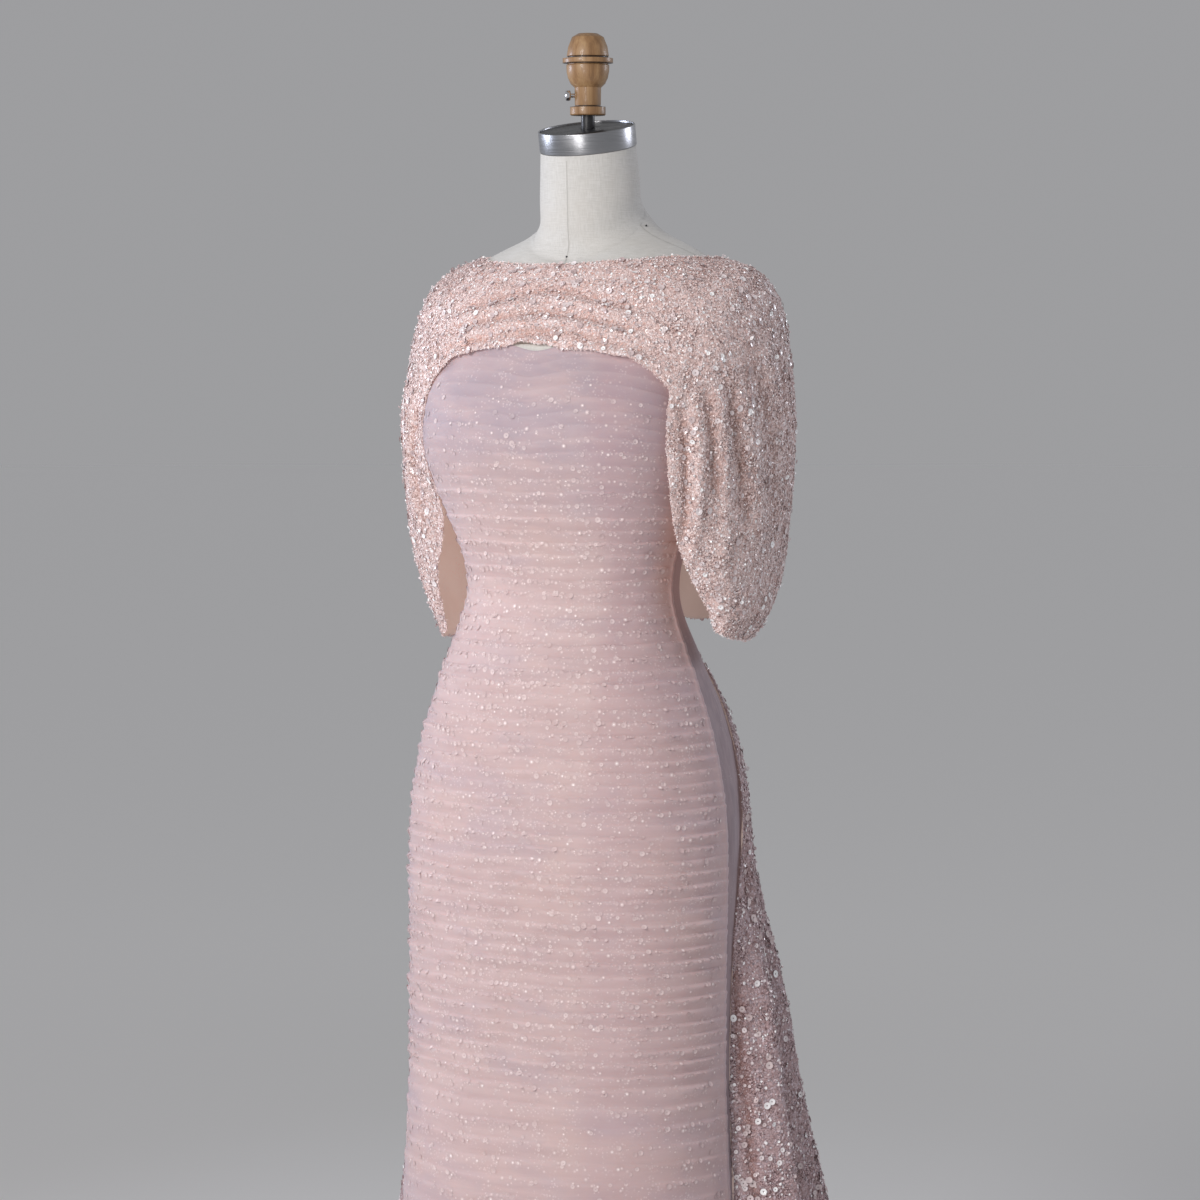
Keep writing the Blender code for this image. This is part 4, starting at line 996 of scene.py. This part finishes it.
def linen_material():
    """Off-white linen, tightly woven, with slubs."""
    s = Shader("Linen", (0.74, 0.72, 0.69), 0.85)
    warp = s.grain(1500.0, 90.0)
    weft = s.grain(90.0, 1500.0, 2.0, 0.5)
    cloth = s.maths("ADD", warp, weft)
    colour = s.mixed(s.within(cloth, 0.75, 1.25), (0.545, 0.535, 0.510), (0.635, 0.625, 0.605))
    colour = s.mixed(s.within(s.noise(22.0, 3.0), 0.4, 0.7, 0.0, 0.35), colour, (0.585, 0.555, 0.510))
    s.set("Base Color", colour)
    s.set("Sheen Weight", 0.15)
    s.set("Normal", s.bump(cloth, 0.35, 0.0004))
    return s.material


def steel_material():
    """Steel brushed round the neck band."""
    s = Shader("Brushed steel", (0.38, 0.385, 0.40), 0.30, 1.0)
    lines = s.grain(25.0, 5200.0, 3.0, 0.6)
    s.set("Roughness", s.within(lines, 0.3, 0.7, 0.22, 0.42))
    s.set("Base Color", s.mixed(lines, (0.30, 0.305, 0.32), (0.46, 0.465, 0.48)))
    s.set("Normal", s.bump(lines, 0.12, 0.0002))
    return s.material


def black_material():
    """Satin black paint with a fine orange-peel."""
    s = Shader("Black metal", (0.018, 0.018, 0.020), 0.34)
    fine = s.noise(450.0, 2.0)
    s.set("Roughness", s.within(fine, 0.3, 0.7, 0.26, 0.42))
    s.set("Base Color", s.mixed(s.noise(60.0, 2.0), (0.012, 0.012, 0.013), (0.030, 0.030, 0.033)))
    s.set("Normal", s.bump(fine, 0.10, 0.0002))
    return s.material


def chrome_material():
    """Bright plated metal with faint handling marks."""
    s = Shader("Bright screw", (0.78, 0.78, 0.80), 0.12, 1.0)
    s.set("Roughness", s.within(s.noise(700.0, 3.0), 0.3, 0.8, 0.08, 0.26))
    return s.material


def wood_material():
    """Pale turned wood: long grain, fine pores, and rings burnt dark at its grooves."""
    s = Shader("Turned wood", (0.55, 0.36, 0.20), 0.42)
    grain = s.grain(95.0, 9.0, 5.0, 0.65)
    pores = s.grain(900.0, 60.0, 2.0, 0.6)
    colour = s.ramp(
        s.within(grain, 0.25, 0.75), (0.0, (0.185, 0.098, 0.043)), (0.45, (0.295, 0.165, 0.074)),
        (1.0, (0.41, 0.255, 0.125)),
    )
    colour = s.mixed(s.within(pores, 0.52, 0.72, 0.0, 0.45), colour, (0.16, 0.085, 0.045))
    burnt = 0.0
    for height, half in WOOD_RINGS:
        away = s.maths("ABSOLUTE", s.maths("SUBTRACT", s.axes()["Z"], height))
        burnt = s.maths("MAXIMUM", burnt, s.within(away, half * 0.5, half, 1.0, 0.0))
    s.set("Base Color", s.mixed(burnt, colour, (0.035, 0.018, 0.010)))
    s.set("Roughness", s.within(grain, 0.3, 0.7, 0.34, 0.52))
    s.set("Coat Weight", 0.12)
    s.set("Normal", s.bump(s.maths("ADD", grain, pores), 0.20, 0.0004))
    return s.material


# ---------------------------------------------------------------- the gown


def gown_field():
    """The gown's plain radius over angle and height, smoothed from its inner face."""
    shape = wall_face(["gown_front"], outer=False)
    tree = BVHTree.FromBMesh(shape)
    rims = [v.co.copy() for v in shape.verts if v.is_boundary and v.co.z > TOP_DIP_FADE]
    shape.free()
    angles = np.linspace(-FIELD_TURN, FIELD_TURN, FIELD_COLUMNS)
    heights = np.linspace(GOWN_HEM + 0.001, GOWN_TOP - 0.0005, FIELD_ROWS)
    radius = np.full((len(heights), len(angles)), np.nan)
    for i, z in enumerate(heights):
        for j, angle in enumerate(angles):
            place, _, _, distance = tree.ray_cast(Vector((0.0, SIDE_SEAM, z)), outward(angle), 1.0)
            if place is not None:
                radius[i, j] = distance
    for j in range(len(angles)):
        known = ~np.isnan(radius[:, j])
        slope = (radius[known, j][-1] - radius[known, j][-1 - SLOPE_ROWS]) / SLOPE_ROWS
        first, last = known.argmax(), np.flatnonzero(known)[-1]
        radius[first:, j] = np.where(
            known[first:], radius[first:, j],
            radius[last, j] + slope * (np.arange(first, len(heights)) - last),
        )
    radius = blurred(blurred(radius, FIELD_BLUR[0], 1), FIELD_BLUR[1], 0)
    rim_angles = [math.degrees(math.atan2(p.x, SIDE_SEAM - p.y)) for p in rims]
    tops = {}
    for angle, point in zip(rim_angles, rims):
        key = round(angle)
        tops[key] = max(tops.get(key, 0.0), point.z)
    keys = sorted(tops)
    edge = np.interp(angles, keys, [tops[key] for key in keys])
    edge = blurred(edge[None], EDGE_BLUR, 1)[0]
    return angles, heights, radius, edge


def gown_rows():
    """(level, share of the pleat's depth, pleat) of each row, from the top down."""
    rows = []
    z = GOWN_TOP
    pleat = 0
    for count, pitch in ((PLEATS, PLEAT_PITCH), (SOFT_PLEATS, SOFT_PITCH)):
        for _ in range(count):
            rows += [(z - pitch * share, depth, pleat) for share, depth in PLEAT_PROFILE]
            z -= pitch
            pleat += 1
    plain = [(z + (GOWN_HEM - z) * i / PLAIN_ROWS, 0.0, pleat) for i in range(PLAIN_ROWS + 1)]
    return rows + plain


def between(field, i, j):
    """A field's value between its points, at fractional rows and columns."""
    i, j = np.broadcast_arrays(i, j)
    i0, j0 = i.astype(int), j.astype(int)
    fi, fj = i - i0, j - j0
    return (
        field[i0, j0] * (1 - fi) * (1 - fj) + field[i0 + 1, j0] * fi * (1 - fj)
        + field[i0, j0 + 1] * (1 - fi) * fj + field[i0 + 1, j0 + 1] * fi * fj
    )


def gown_front(material):
    """The pleated front panel, as one fine sheet. Returns its grid of points too."""
    angles, heights, radius, edge = gown_field()
    rows = gown_rows()
    level = np.array([row[0] for row in rows])[:, None]
    share = np.array([row[1] for row in rows])[:, None]
    pleat = np.array([row[2] for row in rows])
    inside = np.linspace(-SEAM_TURN, SEAM_TURN, GOWN_COLUMNS + 1)
    turn = np.concatenate([[-90.0], inside, [90.0]])[None, :]
    east, south = np.sin(np.radians(turn)), np.cos(np.radians(turn))
    columns = turn.shape[1]
    shape = (len(rows), columns)
    flat = np.stack(np.broadcast_arrays(np.radians(turn) * HIP_RADIUS, level), -1).reshape(-1, 2)

    rng = np.random.default_rng(10)
    pleats = PLEATS + SOFT_PLEATS + 1
    swing, phase = rng.uniform(-1.0, 1.0, pleats), rng.uniform(0, math.tau, pleats)
    waves, strength = rng.uniform(1.2, 4.0, pleats), rng.uniform(0.55, 1.15, pleats)
    own = np.sin(np.radians(turn) * waves[pleat, None] + phase[pleat, None]) * swing[pleat, None]
    free = ease(level, GOWN_HEM, GOWN_HEM + 0.05) * ease(GOWN_TOP - level, 0.0, 0.02)
    wobble = (ripple(flat * (1.0, 0.35), 0.11, 11) * 0.00045).reshape(shape) + own * PLEAT_SWING
    middle, half, by = TOP_NOTCH
    notch = by * bell(edge.mean() * east * TOP_RADIUS, middle, half)
    rise = (TOP_RISE - notch) * ease(90 - np.abs(turn), 0, 25)
    drop = GOWN_TOP - np.interp(turn[0], angles, edge)[None, :] - rise
    z = level - drop * ease(level, TOP_DIP_FADE, GOWN_TOP) + wobble * free

    uneven = np.clip(1.0 + 0.30 * ripple(flat * (1.0, 1.6), 0.06, 12), 0.35, 1.6).reshape(shape)
    depth = np.interp(level, PLEAT_HEIGHTS, PLEAT_DEPTHS) * uneven * share * strength[pleat, None]
    front, beside, seam = PLEAT_SIDES
    depth = depth * (front + (beside - front) * ease(np.abs(turn), 30, 70))
    depth = depth * (1 + (seam / beside - 1) * ease(np.abs(turn), 80, SEAM_TURN))
    fine = (ripple(flat * (0.12, 1.0), 0.007, 13) * 0.00012).reshape(shape)
    i = np.clip((z - heights[0]) / (heights[1] - heights[0]), 0, len(heights) - 1.001)
    j = np.clip((turn - angles[0]) / (angles[1] - angles[0]), 0, len(angles) - 1.001)
    ridge = SIDE_RIDGE * ease(np.abs(turn), 90 - SIDE_RIDGE_ANGLE, SEAM_TURN)
    side, spread, height, tall, by = BUST_SIDE
    fuller = by * bell(turn, side, spread) * bell(level, height, tall)
    tucked = -0.0012 * ease(z, GOWN_TOP - 0.004, GOWN_TOP + TOP_RISE)
    reach = between(radius, i, j) + LINING + depth + ridge + fine + fuller + tucked
    reach = np.where(np.abs(turn) > SEAM_START, between(radius, i, j), reach)
    grid = np.stack([reach * east, SIDE_SEAM - reach * south, z], -1)

    corner = (np.arange(shape[0] - 1)[:, None] * columns + np.arange(columns - 1)[None, :]).ravel()
    faces = np.stack([corner, corner + columns, corner + columns + 1, corner + 1], 1)
    mesh = drawn("gown_front_tulle", grid.reshape(-1, 3).tolist(), faces.tolist())
    # the pleats' crests, lighter where the tulle lies doubled
    crests_and_seam_highlight = np.clip(np.broadcast_to(share, shape) * ease(level, 0.42, 0.55), 0, 1) ** 2
    # painted highlight: the ridge at each side seam is marked light
    crests_and_seam_highlight = np.maximum(crests_and_seam_highlight, np.broadcast_to(2.0 * ease(np.abs(turn), 88.2, 89.4), shape))
    marked(mesh, "fold", crests_and_seam_highlight)
    piece = new_piece("gown_front_tulle", mesh, material, ["gown_front"])
    return grid, tree_of(mesh)


def top_facing(grid, material):
    """The cream facing that stands a little above the tulle's top edge, under the cape."""
    columns = range(FACING_COLUMNS[0], FACING_COLUMNS[1])
    axis = np.array((0.0, SIDE_SEAM, 0.0))
    rows = []
    lowest = min(grid[0, c, 2] for c in columns)
    for back, up in FACING_ROWS:
        for c in columns:
            level = (grid[0, c] - axis) * (1.0, 1.0, 0.0)
            point = grid[0, c] - level / np.linalg.norm(level) * back
            rows.append((point[0], point[1], min(point[2], lowest) + up))
    count = len(columns)
    faces = [
        (r * count + c, (r + 1) * count + c, (r + 1) * count + c + 1, r * count + c + 1)
        for r in range(len(FACING_ROWS) - 1) for c in range(count - 1)
    ]
    mesh = drawn("gown_top_facing", rows, faces)
    piece = new_piece("gown_top_facing", mesh, material)
    shell = piece.modifiers.new("Thickness", "SOLIDIFY")
    shell.thickness = 0.0005
    applied(piece)


def veiled_sequins(grid, material):
    """Small sequins along the pleats, laid on the tulle as they would show through it."""
    rng = np.random.default_rng(31)
    rows, columns = grid.shape[:2]
    steps = len(PLEAT_PROFILE)
    pleated = (PLEATS + SOFT_PLEATS) * steps
    parts = []
    for kind in VEILED:
        count = kind.count
        pleat = rng.integers(0, PLEATS + SOFT_PLEATS, count)
        inside = np.where(
            rng.random(count) < VEILED_IN_ROWS,
            rng.normal(VEILED_ROW, VEILED_ROW_SPREAD, count) % 1.0, rng.random(count),
        )
        row = np.clip((pleat + inside) * steps, 0, pleated - 2)
        plain = rng.random(count) < VEILED_BELOW
        row = np.where(plain, rng.uniform(pleated, rows - 2, count), row)
        column = rng.uniform(3, columns - 4, count)
        under = GOWN_TOP - grid[row.astype(int), column.astype(int), 2]
        kept = rng.random(count) < ease(under, *VEILED_FROM)
        row, column, count = row[kept], column[kept], kept.sum()
        r0, c0 = row.astype(int), column.astype(int)
        fr, fc = (row - r0)[:, None], (column - c0)[:, None]
        top = grid[r0, c0] * (1 - fc) + grid[r0, c0 + 1] * fc
        foot = grid[r0 + 1, c0] * (1 - fc) + grid[r0 + 1, c0 + 1] * fc
        facing = unit(np.cross(grid[r0 + 1, c0] - grid[r0, c0], grid[r0, c0 + 1] - grid[r0, c0]))
        points = top * (1 - fr) + foot * fr + facing * kind.lift
        sizes = random_sizes(kind, count, rng)
        shape = SHAPES[kind.kind]
        placed, corners, owner = set_in_place(shape, points, facing, sizes, kind.lean, rng)
        tint = random_tints(kind, count, rng)[owner]
        if kind.kind == "dot":
            tint *= np.tile(np.linalg.norm(shape[0], axis=1) < 0.5, count)
        parts.append((placed, corners, tint))
    joined_piece("gown_veiled_sequins", parts, material)


def gown_back(material):
    """The two plain back panels. Returns them for measuring from."""
    outer = wall_face(["gown_back_left", "gown_back_right"])
    tree = BVHTree.FromBMesh(outer)
    outer.free()
    for side in ("left", "right"):
        name = "gown_back_%s_tulle" % side
        mesh = refined(name, wall_face(["gown_back_" + side]), 3)
        co, normals = positions(mesh), vertex_normals(mesh)
        pulls = ripple(co * (1.0, 1.0, 0.12), 0.030, 21) * 0.0005
        inner = ease(co[:, 2], 0.01, 0.06) * ease(1.24 - co[:, 2], 0.0, 0.05)
        moved(mesh, co + normals * (pulls * inner)[:, None])
        piece = new_piece(name, mesh, material, ["gown_back_" + side])
    return tree


# ---------------------------------------------------------------- the cape and the train


def nudged(co, nudges):
    """The points after all the nudges, and how much each of them was moved by."""
    total = np.zeros_like(co)
    weight = np.zeros(len(co))
    for nudge in nudges:
        away = np.linalg.norm(co - (nudge.x, nudge.y, nudge.z), axis=1)
        near = np.exp(-((away / nudge.reach) ** 2))
        total += near[:, None] * (nudge.dx, nudge.dy, nudge.dz)
        weight += near
    move = total / np.maximum(weight, 1.0)[:, None]
    return co + move, np.linalg.norm(move, axis=1)


def kept_clear(co, chosen, tree, margin):
    """The chosen points moved out where they come closer than margin to what is under them."""
    for i in np.flatnonzero(chosen):
        place, normal, _, _ = tree.find_nearest(Vector(co[i]), 0.03)
        if place is not None:
            apart = (Vector(co[i]) - place).dot(normal)
            co[i] += np.array(normal) * max(0.0, margin - apart)
    return co


def edge_laid(co, tree):
    """The train's front edges, drawn onto the gown."""
    near = bell(co[:, 1], TRAIN_EDGE, TRAIN_EDGE_REACH)
    co[:, 1] += TRAIN_EDGE_BACK * near
    for i in np.flatnonzero(near > 0.01):
        place, normal, _, _ = tree.find_nearest(Vector(co[i]), 0.05)
        if place is not None:
            co[i] += (np.array(place + normal * TRAIN_EDGE_LIFT) - co[i]) * near[i]
    return co


def hem_curved(co):
    """The cape's hem, raised at the centre back and uneven."""
    x, y, z = co.T
    across = np.clip(np.abs(x) / HEM_HALF, 0.0, 1.0)
    wave = HEM_WAVE * np.sin(x / HEM_WAVE_LENGTH * math.tau + 0.7)
    lift = HEM_RISE * (1.0 - ease(across, 0.0, 1.0)) + wave
    behind = ease(y, 0.0, 0.05) * ease(HEM_REACH - z, 0.0, HEM_REACH - HEM_LEVEL)
    behind = behind * (1.0 - ease(across, 0.85, 1.0))
    co[:, 2] += lift * behind
    return co


def lace_skin(name, nodes, creases, centre_y, lumps, materials, nudges=(), under=(), settle=None):
    """A creased lace piece with its lining, and its outer surface for the trimmings."""
    mesh = refined(name, wall_face(nodes), 2)
    co, move = nudged(positions(mesh), nudges)
    for tree, margin in under:
        co = kept_clear(co, move > 0.0002, tree, margin)
    if settle is not None:
        co = settle(co)
    moved(mesh, co)
    height = crease_heights(co, tree_of(mesh), creases, centre_y)
    # how deep each point lies in a crease's trough, which sets the painted shade there
    crease_shade = np.clip(-height / CREASE_SHADE_DEPTH, 0.0, 1.0)
    height += ripple(co, 0.018, 41) * lumps + ripple(co, 0.009, 42) * lumps * 0.5
    co = co + vertex_normals(mesh) * height[:, None]
    co[:, 2] = np.maximum(co[:, 2], LACE_THICKNESS + SKIN_FLOOR)
    moved(mesh, co)
    surface = (positions(mesh), vertex_normals(mesh), triangles(mesh), crease_shade)
    marked(mesh, "crease_shade", crease_shade)
    piece = new_piece(name, mesh, materials[0], nodes)
    mesh.materials.append(materials[1])
    shell = piece.modifiers.new("Thickness", "SOLIDIFY")
    shell.thickness = LACE_THICKNESS
    shell.offset = -1.0
    shell.material_offset = 1
    return applied(piece), surface


def border_points(surface, step, rng):
    """Points along a surface's open edges, about step apart, with their normals."""
    co, normals, tris = surface[:3]
    edges = np.sort(np.concatenate([tris[:, [0, 1]], tris[:, [1, 2]], tris[:, [2, 0]]]), axis=1)
    edges, uses = np.unique(edges, axis=0, return_counts=True)
    edges = edges[uses == 1]
    length = np.linalg.norm(co[edges[:, 0]] - co[edges[:, 1]], axis=1)
    count = int(length.sum() / step)
    chosen = rng.choice(len(edges), size=count, p=length / length.sum())
    share = rng.random(count)[:, None]
    a, b = edges[chosen, 0], edges[chosen, 1]
    return co[a] * (1 - share) + co[b] * share, unit(normals[a] * (1 - share) + normals[b] * share)


def border_piece(name, surface, step, seed, material, floor=None):
    """Cut beads crowded along a lace piece's edges."""
    rng = np.random.default_rng(seed)
    points, facing = border_points(surface, step, rng)
    points = points + rng.normal(0.0, EDGE_SCATTER, points.shape)
    sizes = rng.uniform(*EDGE_SIZES, len(points))
    placed, corners, owner = set_in_place(SHAPES["grain"], points, facing, sizes, EDGE_LEAN, rng)
    tint = rng.uniform(*EDGE_TINTS, len(points))[owner]
    joined_piece(name, [(placed, corners, tint)], material, floor)


def cape(lace, chips, pearl, under):
    """The cape's net with its trimmings, clear of what is under it."""
    piece, surface = lace_skin(
        "cape_lace", CAPE_NODES, CAPE_CREASES, 0.0, CAPE_LUMPS, lace, CAPE_NUDGES, under, hem_curved
    )
    strewn_piece("cape_chips", surface, CAPE_CHIPS, 51, chips)
    strewn_piece("cape_sequins", surface, CAPE_SEQUINS, 52, pearl)
    border_piece("cape_edge_beads", surface, CAPE_BEAD_STEP, 53, chips)


def train(lace, chips, pearl, gown_tree):
    """The train's net with its trimmings, laid on the gown in front."""
    piece, surface = lace_skin(
        "train_lace", TRAIN_NODES, TRAIN_CREASES, SIDE_SEAM, TRAIN_LUMPS, lace,
        settle=partial(edge_laid, tree=gown_tree),
    )
    strewn_piece("train_chips", surface, TRAIN_CHIPS, 61, chips, TRIM_FLOOR)
    strewn_piece("train_sequins", surface, TRAIN_SEQUINS, 62, pearl, TRIM_FLOOR)
    border_piece("train_edge_beads", surface, TRAIN_BEAD_STEP, 63, chips, TRIM_FLOOR)


# ---------------------------------------------------------------- the dress form


def neck_ring(angle):
    """The height of the neck's foot, round the form: low in front and high behind."""
    return NECK_FOOT - NECK_FOOT_TILT * math.cos(math.radians(angle))


def form_linen(material):
    """The torso under its linen cover, closed above and below, pulled in at the neck's foot."""
    shape = node_shape("form_torso")
    caps = [
        f for f in shape.faces
        if f.normal.z < -0.99 or (f.normal.z > 0.95 and f.calc_center_median().z > NECK_CAP_ABOVE)
    ]
    bmesh.ops.delete(shape, geom=caps, context="FACES_ONLY")
    mesh = refined("form_linen", made_quads(shape), 2)
    co, normals = positions(mesh), vertex_normals(mesh)
    away = np.maximum(np.hypot(co[:, 0], co[:, 1]), 1e-6)
    ring = NECK_FOOT + NECK_FOOT_TILT * co[:, 1] / away  # neck_ring, at each point's own angle
    pull = NECK_PULL * bell(co[:, 2], ring + NECK_PULL_ABOVE, NECK_PULL_SPREAD)
    pull += NECK_SEAM_DEPTH * bell(co[:, 2], ring, NECK_SEAM_SPREAD)
    moved(mesh, co - normals * pull[:, None])
    closed = bmesh.new()
    closed.from_mesh(mesh)
    rims = [e for e in closed.edges if e.is_boundary]
    bmesh.ops.holes_fill(closed, edges=rims, sides=0)
    bmesh.ops.recalc_face_normals(closed, faces=closed.faces)
    closed.to_mesh(mesh)
    closed.free()
    new_piece("form_linen", mesh, material, ["form_torso"])
    mesh.set_sharp_from_angle(angle=math.radians(50))
    return tree_of(mesh)


def seam_ribbon(name, tree, places, material, half=0.0005, lift=0.00015):
    """A thin flat seam line over the form, through (angle, height) places."""
    points, normals = [], []
    for angle, z in places:
        point, normal = seen_from_outside(tree, angle, z, start=FORM_RAY)
        if point is not None:
            points.append(np.array(point))
            normals.append(np.array(normal))
    points, normals = np.array(points), np.array(normals)
    run = unit(np.gradient(points, axis=0))
    side = unit(np.cross(run, normals)) * half
    raised = points + normals * lift
    rows = np.stack([raised - side, raised + side], 1).reshape(-1, 3)
    faces = [(2 * i, 2 * i + 1, 2 * i + 3, 2 * i + 2) for i in range(len(points) - 1)]
    new_piece(name, drawn(name, rows.tolist(), faces), material)


def form_seams(tree, material, linen):
    """The cover's seams: centre front and back, the shoulders, and round the neck's foot."""
    heights = np.linspace(SEAM_FOOT, SEAM_TOP, 160)
    for name, angle in (("front", 0.0), ("back", 180.0)):
        seam_ribbon("form_seam_" + name, tree, [(angle, z) for z in heights], material)
    for name, side in (("left", 1.0), ("right", -1.0)):
        below = [
            (side * SHOULDER_SEAM, z) for z in np.linspace(SEAM_FOOT, neck_ring(SHOULDER_SEAM), 120)
        ]
        seam_ribbon("form_seam_" + name, tree, below, material)
    ring = [(a, neck_ring(a)) for a in np.linspace(0.0, 360.0, 97)]
    seam_ribbon("form_seam_neck", tree, ring, linen)


def pins(tree, material):
    """The two dressmaker's pins left in the neck and shoulder."""
    for name, angle, z in PINS:
        point, normal = seen_from_outside(tree, angle, z, start=FORM_RAY)
        shape = bmesh.new()
        bmesh.ops.create_icosphere(shape, subdivisions=2, radius=PIN_RADIUS)
        mesh = bpy.data.meshes.new(name)
        bmesh.ops.translate(shape, verts=shape.verts, vec=point + normal * PIN_LIFT)
        shape.to_mesh(mesh)
        shape.free()
        new_piece(name, mesh, material)


def rounded_copy(node, material, width):
    """A hard piece with its edges rounded and its curved sides shaded smooth."""
    shape = node_shape(node)
    bmesh.ops.dissolve_limit(
        shape, angle_limit=math.radians(1.0), verts=shape.verts, edges=shape.edges,
        use_dissolve_boundaries=False,
    )
    shape.normal_update()
    least = math.radians(EDGE_ANGLE)
    sharp = [e for e in shape.edges if len(e.link_faces) == 2 and e.calc_face_angle() > least]
    bmesh.ops.bevel(
        shape, geom=sharp, offset=width, segments=2, profile=0.5, affect="EDGES",
        clamp_overlap=True,
    )
    name = node + "_finish"
    mesh = bpy.data.meshes.new(name)
    shape.to_mesh(mesh)
    shape.free()
    new_piece(name, mesh, material, [node])
    mesh.set_sharp_from_angle(angle=math.radians(SMOOTH_ANGLE))


# ---------------------------------------------------------------- stage


def aimed(thing, target):
    """Turns a lamp or camera to look at a place."""
    thing.rotation_euler = (Vector(target) - thing.location).to_track_quat("-Z", "Y").to_euler()


def stage():
    """A plain pale floor, soft lamps and the camera."""
    bpy.ops.mesh.primitive_circle_add(
        vertices=96, radius=FLOOR_RADIUS, fill_type="NGON", location=(0, 0, -FLOOR_DROP)
    )
    floor = bpy.context.object
    floor.name = "floor"
    pale = Shader("Pale floor", FLOOR_NEAR, 0.80)
    near = pale.mixed(pale.noise(1.5, 2.0), FLOOR_NEAR, tuple(0.96 * c for c in FLOOR_NEAR))
    away = pale.within(pale.measured("LENGTH", pale.place), *FLOOR_FADE)
    pale.set("Base Color", pale.mixed(away, near, FLOOR_FAR))
    floor.data.materials.append(pale.material)

    view = bpy.context.scene.view_settings
    view.view_transform = "Standard"
    view.look = "None"

    turn = math.radians(VIEW_ANGLE)
    towards = outward(VIEW_ANGLE)
    right = Vector((math.cos(turn), math.sin(turn), 0.0))
    aside = right * AIM_ASIDE
    data = bpy.data.cameras.new("Camera")
    data.lens = LENS
    data.sensor_width = SENSOR
    data.clip_end = 100.0
    camera = bpy.data.objects.new("Camera", data)
    bpy.context.scene.collection.objects.link(camera)
    camera.location = towards * VIEW_DISTANCE + Vector((0, 0, VIEW_HEIGHT)) + aside
    aimed(camera, aside + Vector((0, 0, AIM_HEIGHT)))
    bpy.context.scene.camera = camera

    for lamp in LAMPS:
        light = bpy.data.lights.new(lamp.name, "AREA")
        light.shape = "SQUARE"
        light.size = lamp.size
        light.energy = lamp.watts
        light.spread = math.radians(LAMP_SPREAD)
        light.color = lamp.colour
        placed = bpy.data.objects.new(lamp.name, light)
        bpy.context.scene.collection.objects.link(placed)
        angle = turn + math.radians(lamp.azimuth)
        placed.location = (lamp.distance * math.sin(angle), -lamp.distance * math.cos(angle), lamp.height)
        aimed(placed, (0.0, 0.0, LAMPS_AIM))

    world = bpy.data.worlds.new("Studio")
    bpy.context.scene.world = world
    world.use_nodes = True
    background = world.node_tree.nodes["Background"]
    background.inputs["Color"].default_value = (*WORLD_COLOUR, 1.0)


# ---------------------------------------------------------------- assembly


def main():
    stage()
    lining = lining_material()
    pearl = pearl_material()
    black = black_material()
    grid, gown_tree = gown_front(tulle_material())
    veiled_sequins(grid, veiled_material())
    back_tree = gown_back(plain_tulle_material())
    linen = linen_material()
    form_tree = form_linen(linen)
    top_facing(grid, linen)
    cape_lace = (lace_material("Cape lace", CAPE_SHADE), lining)
    under = ((form_tree, CLEAR_OF_FORM), (gown_tree, CLEAR_OF_GOWN))
    cape(cape_lace, chips_material("Cape chips", CAPE_SHADE), pearl, under)
    train_lace = (lace_material("Train lace", TRAIN_SHADE), lining)
    train(train_lace, chips_material("Train chips", TRAIN_SHADE), pearl, back_tree)
    seam = Shader("Seam shadow", (0.46, 0.45, 0.42), 0.9)
    seam.set("Base Color", seam.mixed(seam.noise(400.0), (0.42, 0.41, 0.385), (0.52, 0.51, 0.485)))
    form_seams(form_tree, seam.material, linen)
    pins(form_tree, black)
    rounded_copy("neck_band", steel_material(), STEEL_EDGE)
    rounded_copy("finial", wood_material(), WOOD_EDGE)
    rounded_copy("thumb_screw", chrome_material(), SCREW_EDGE)
    for node in BLACK_NODES:
        rounded_copy(node, black, BLACK_EDGE)


main()
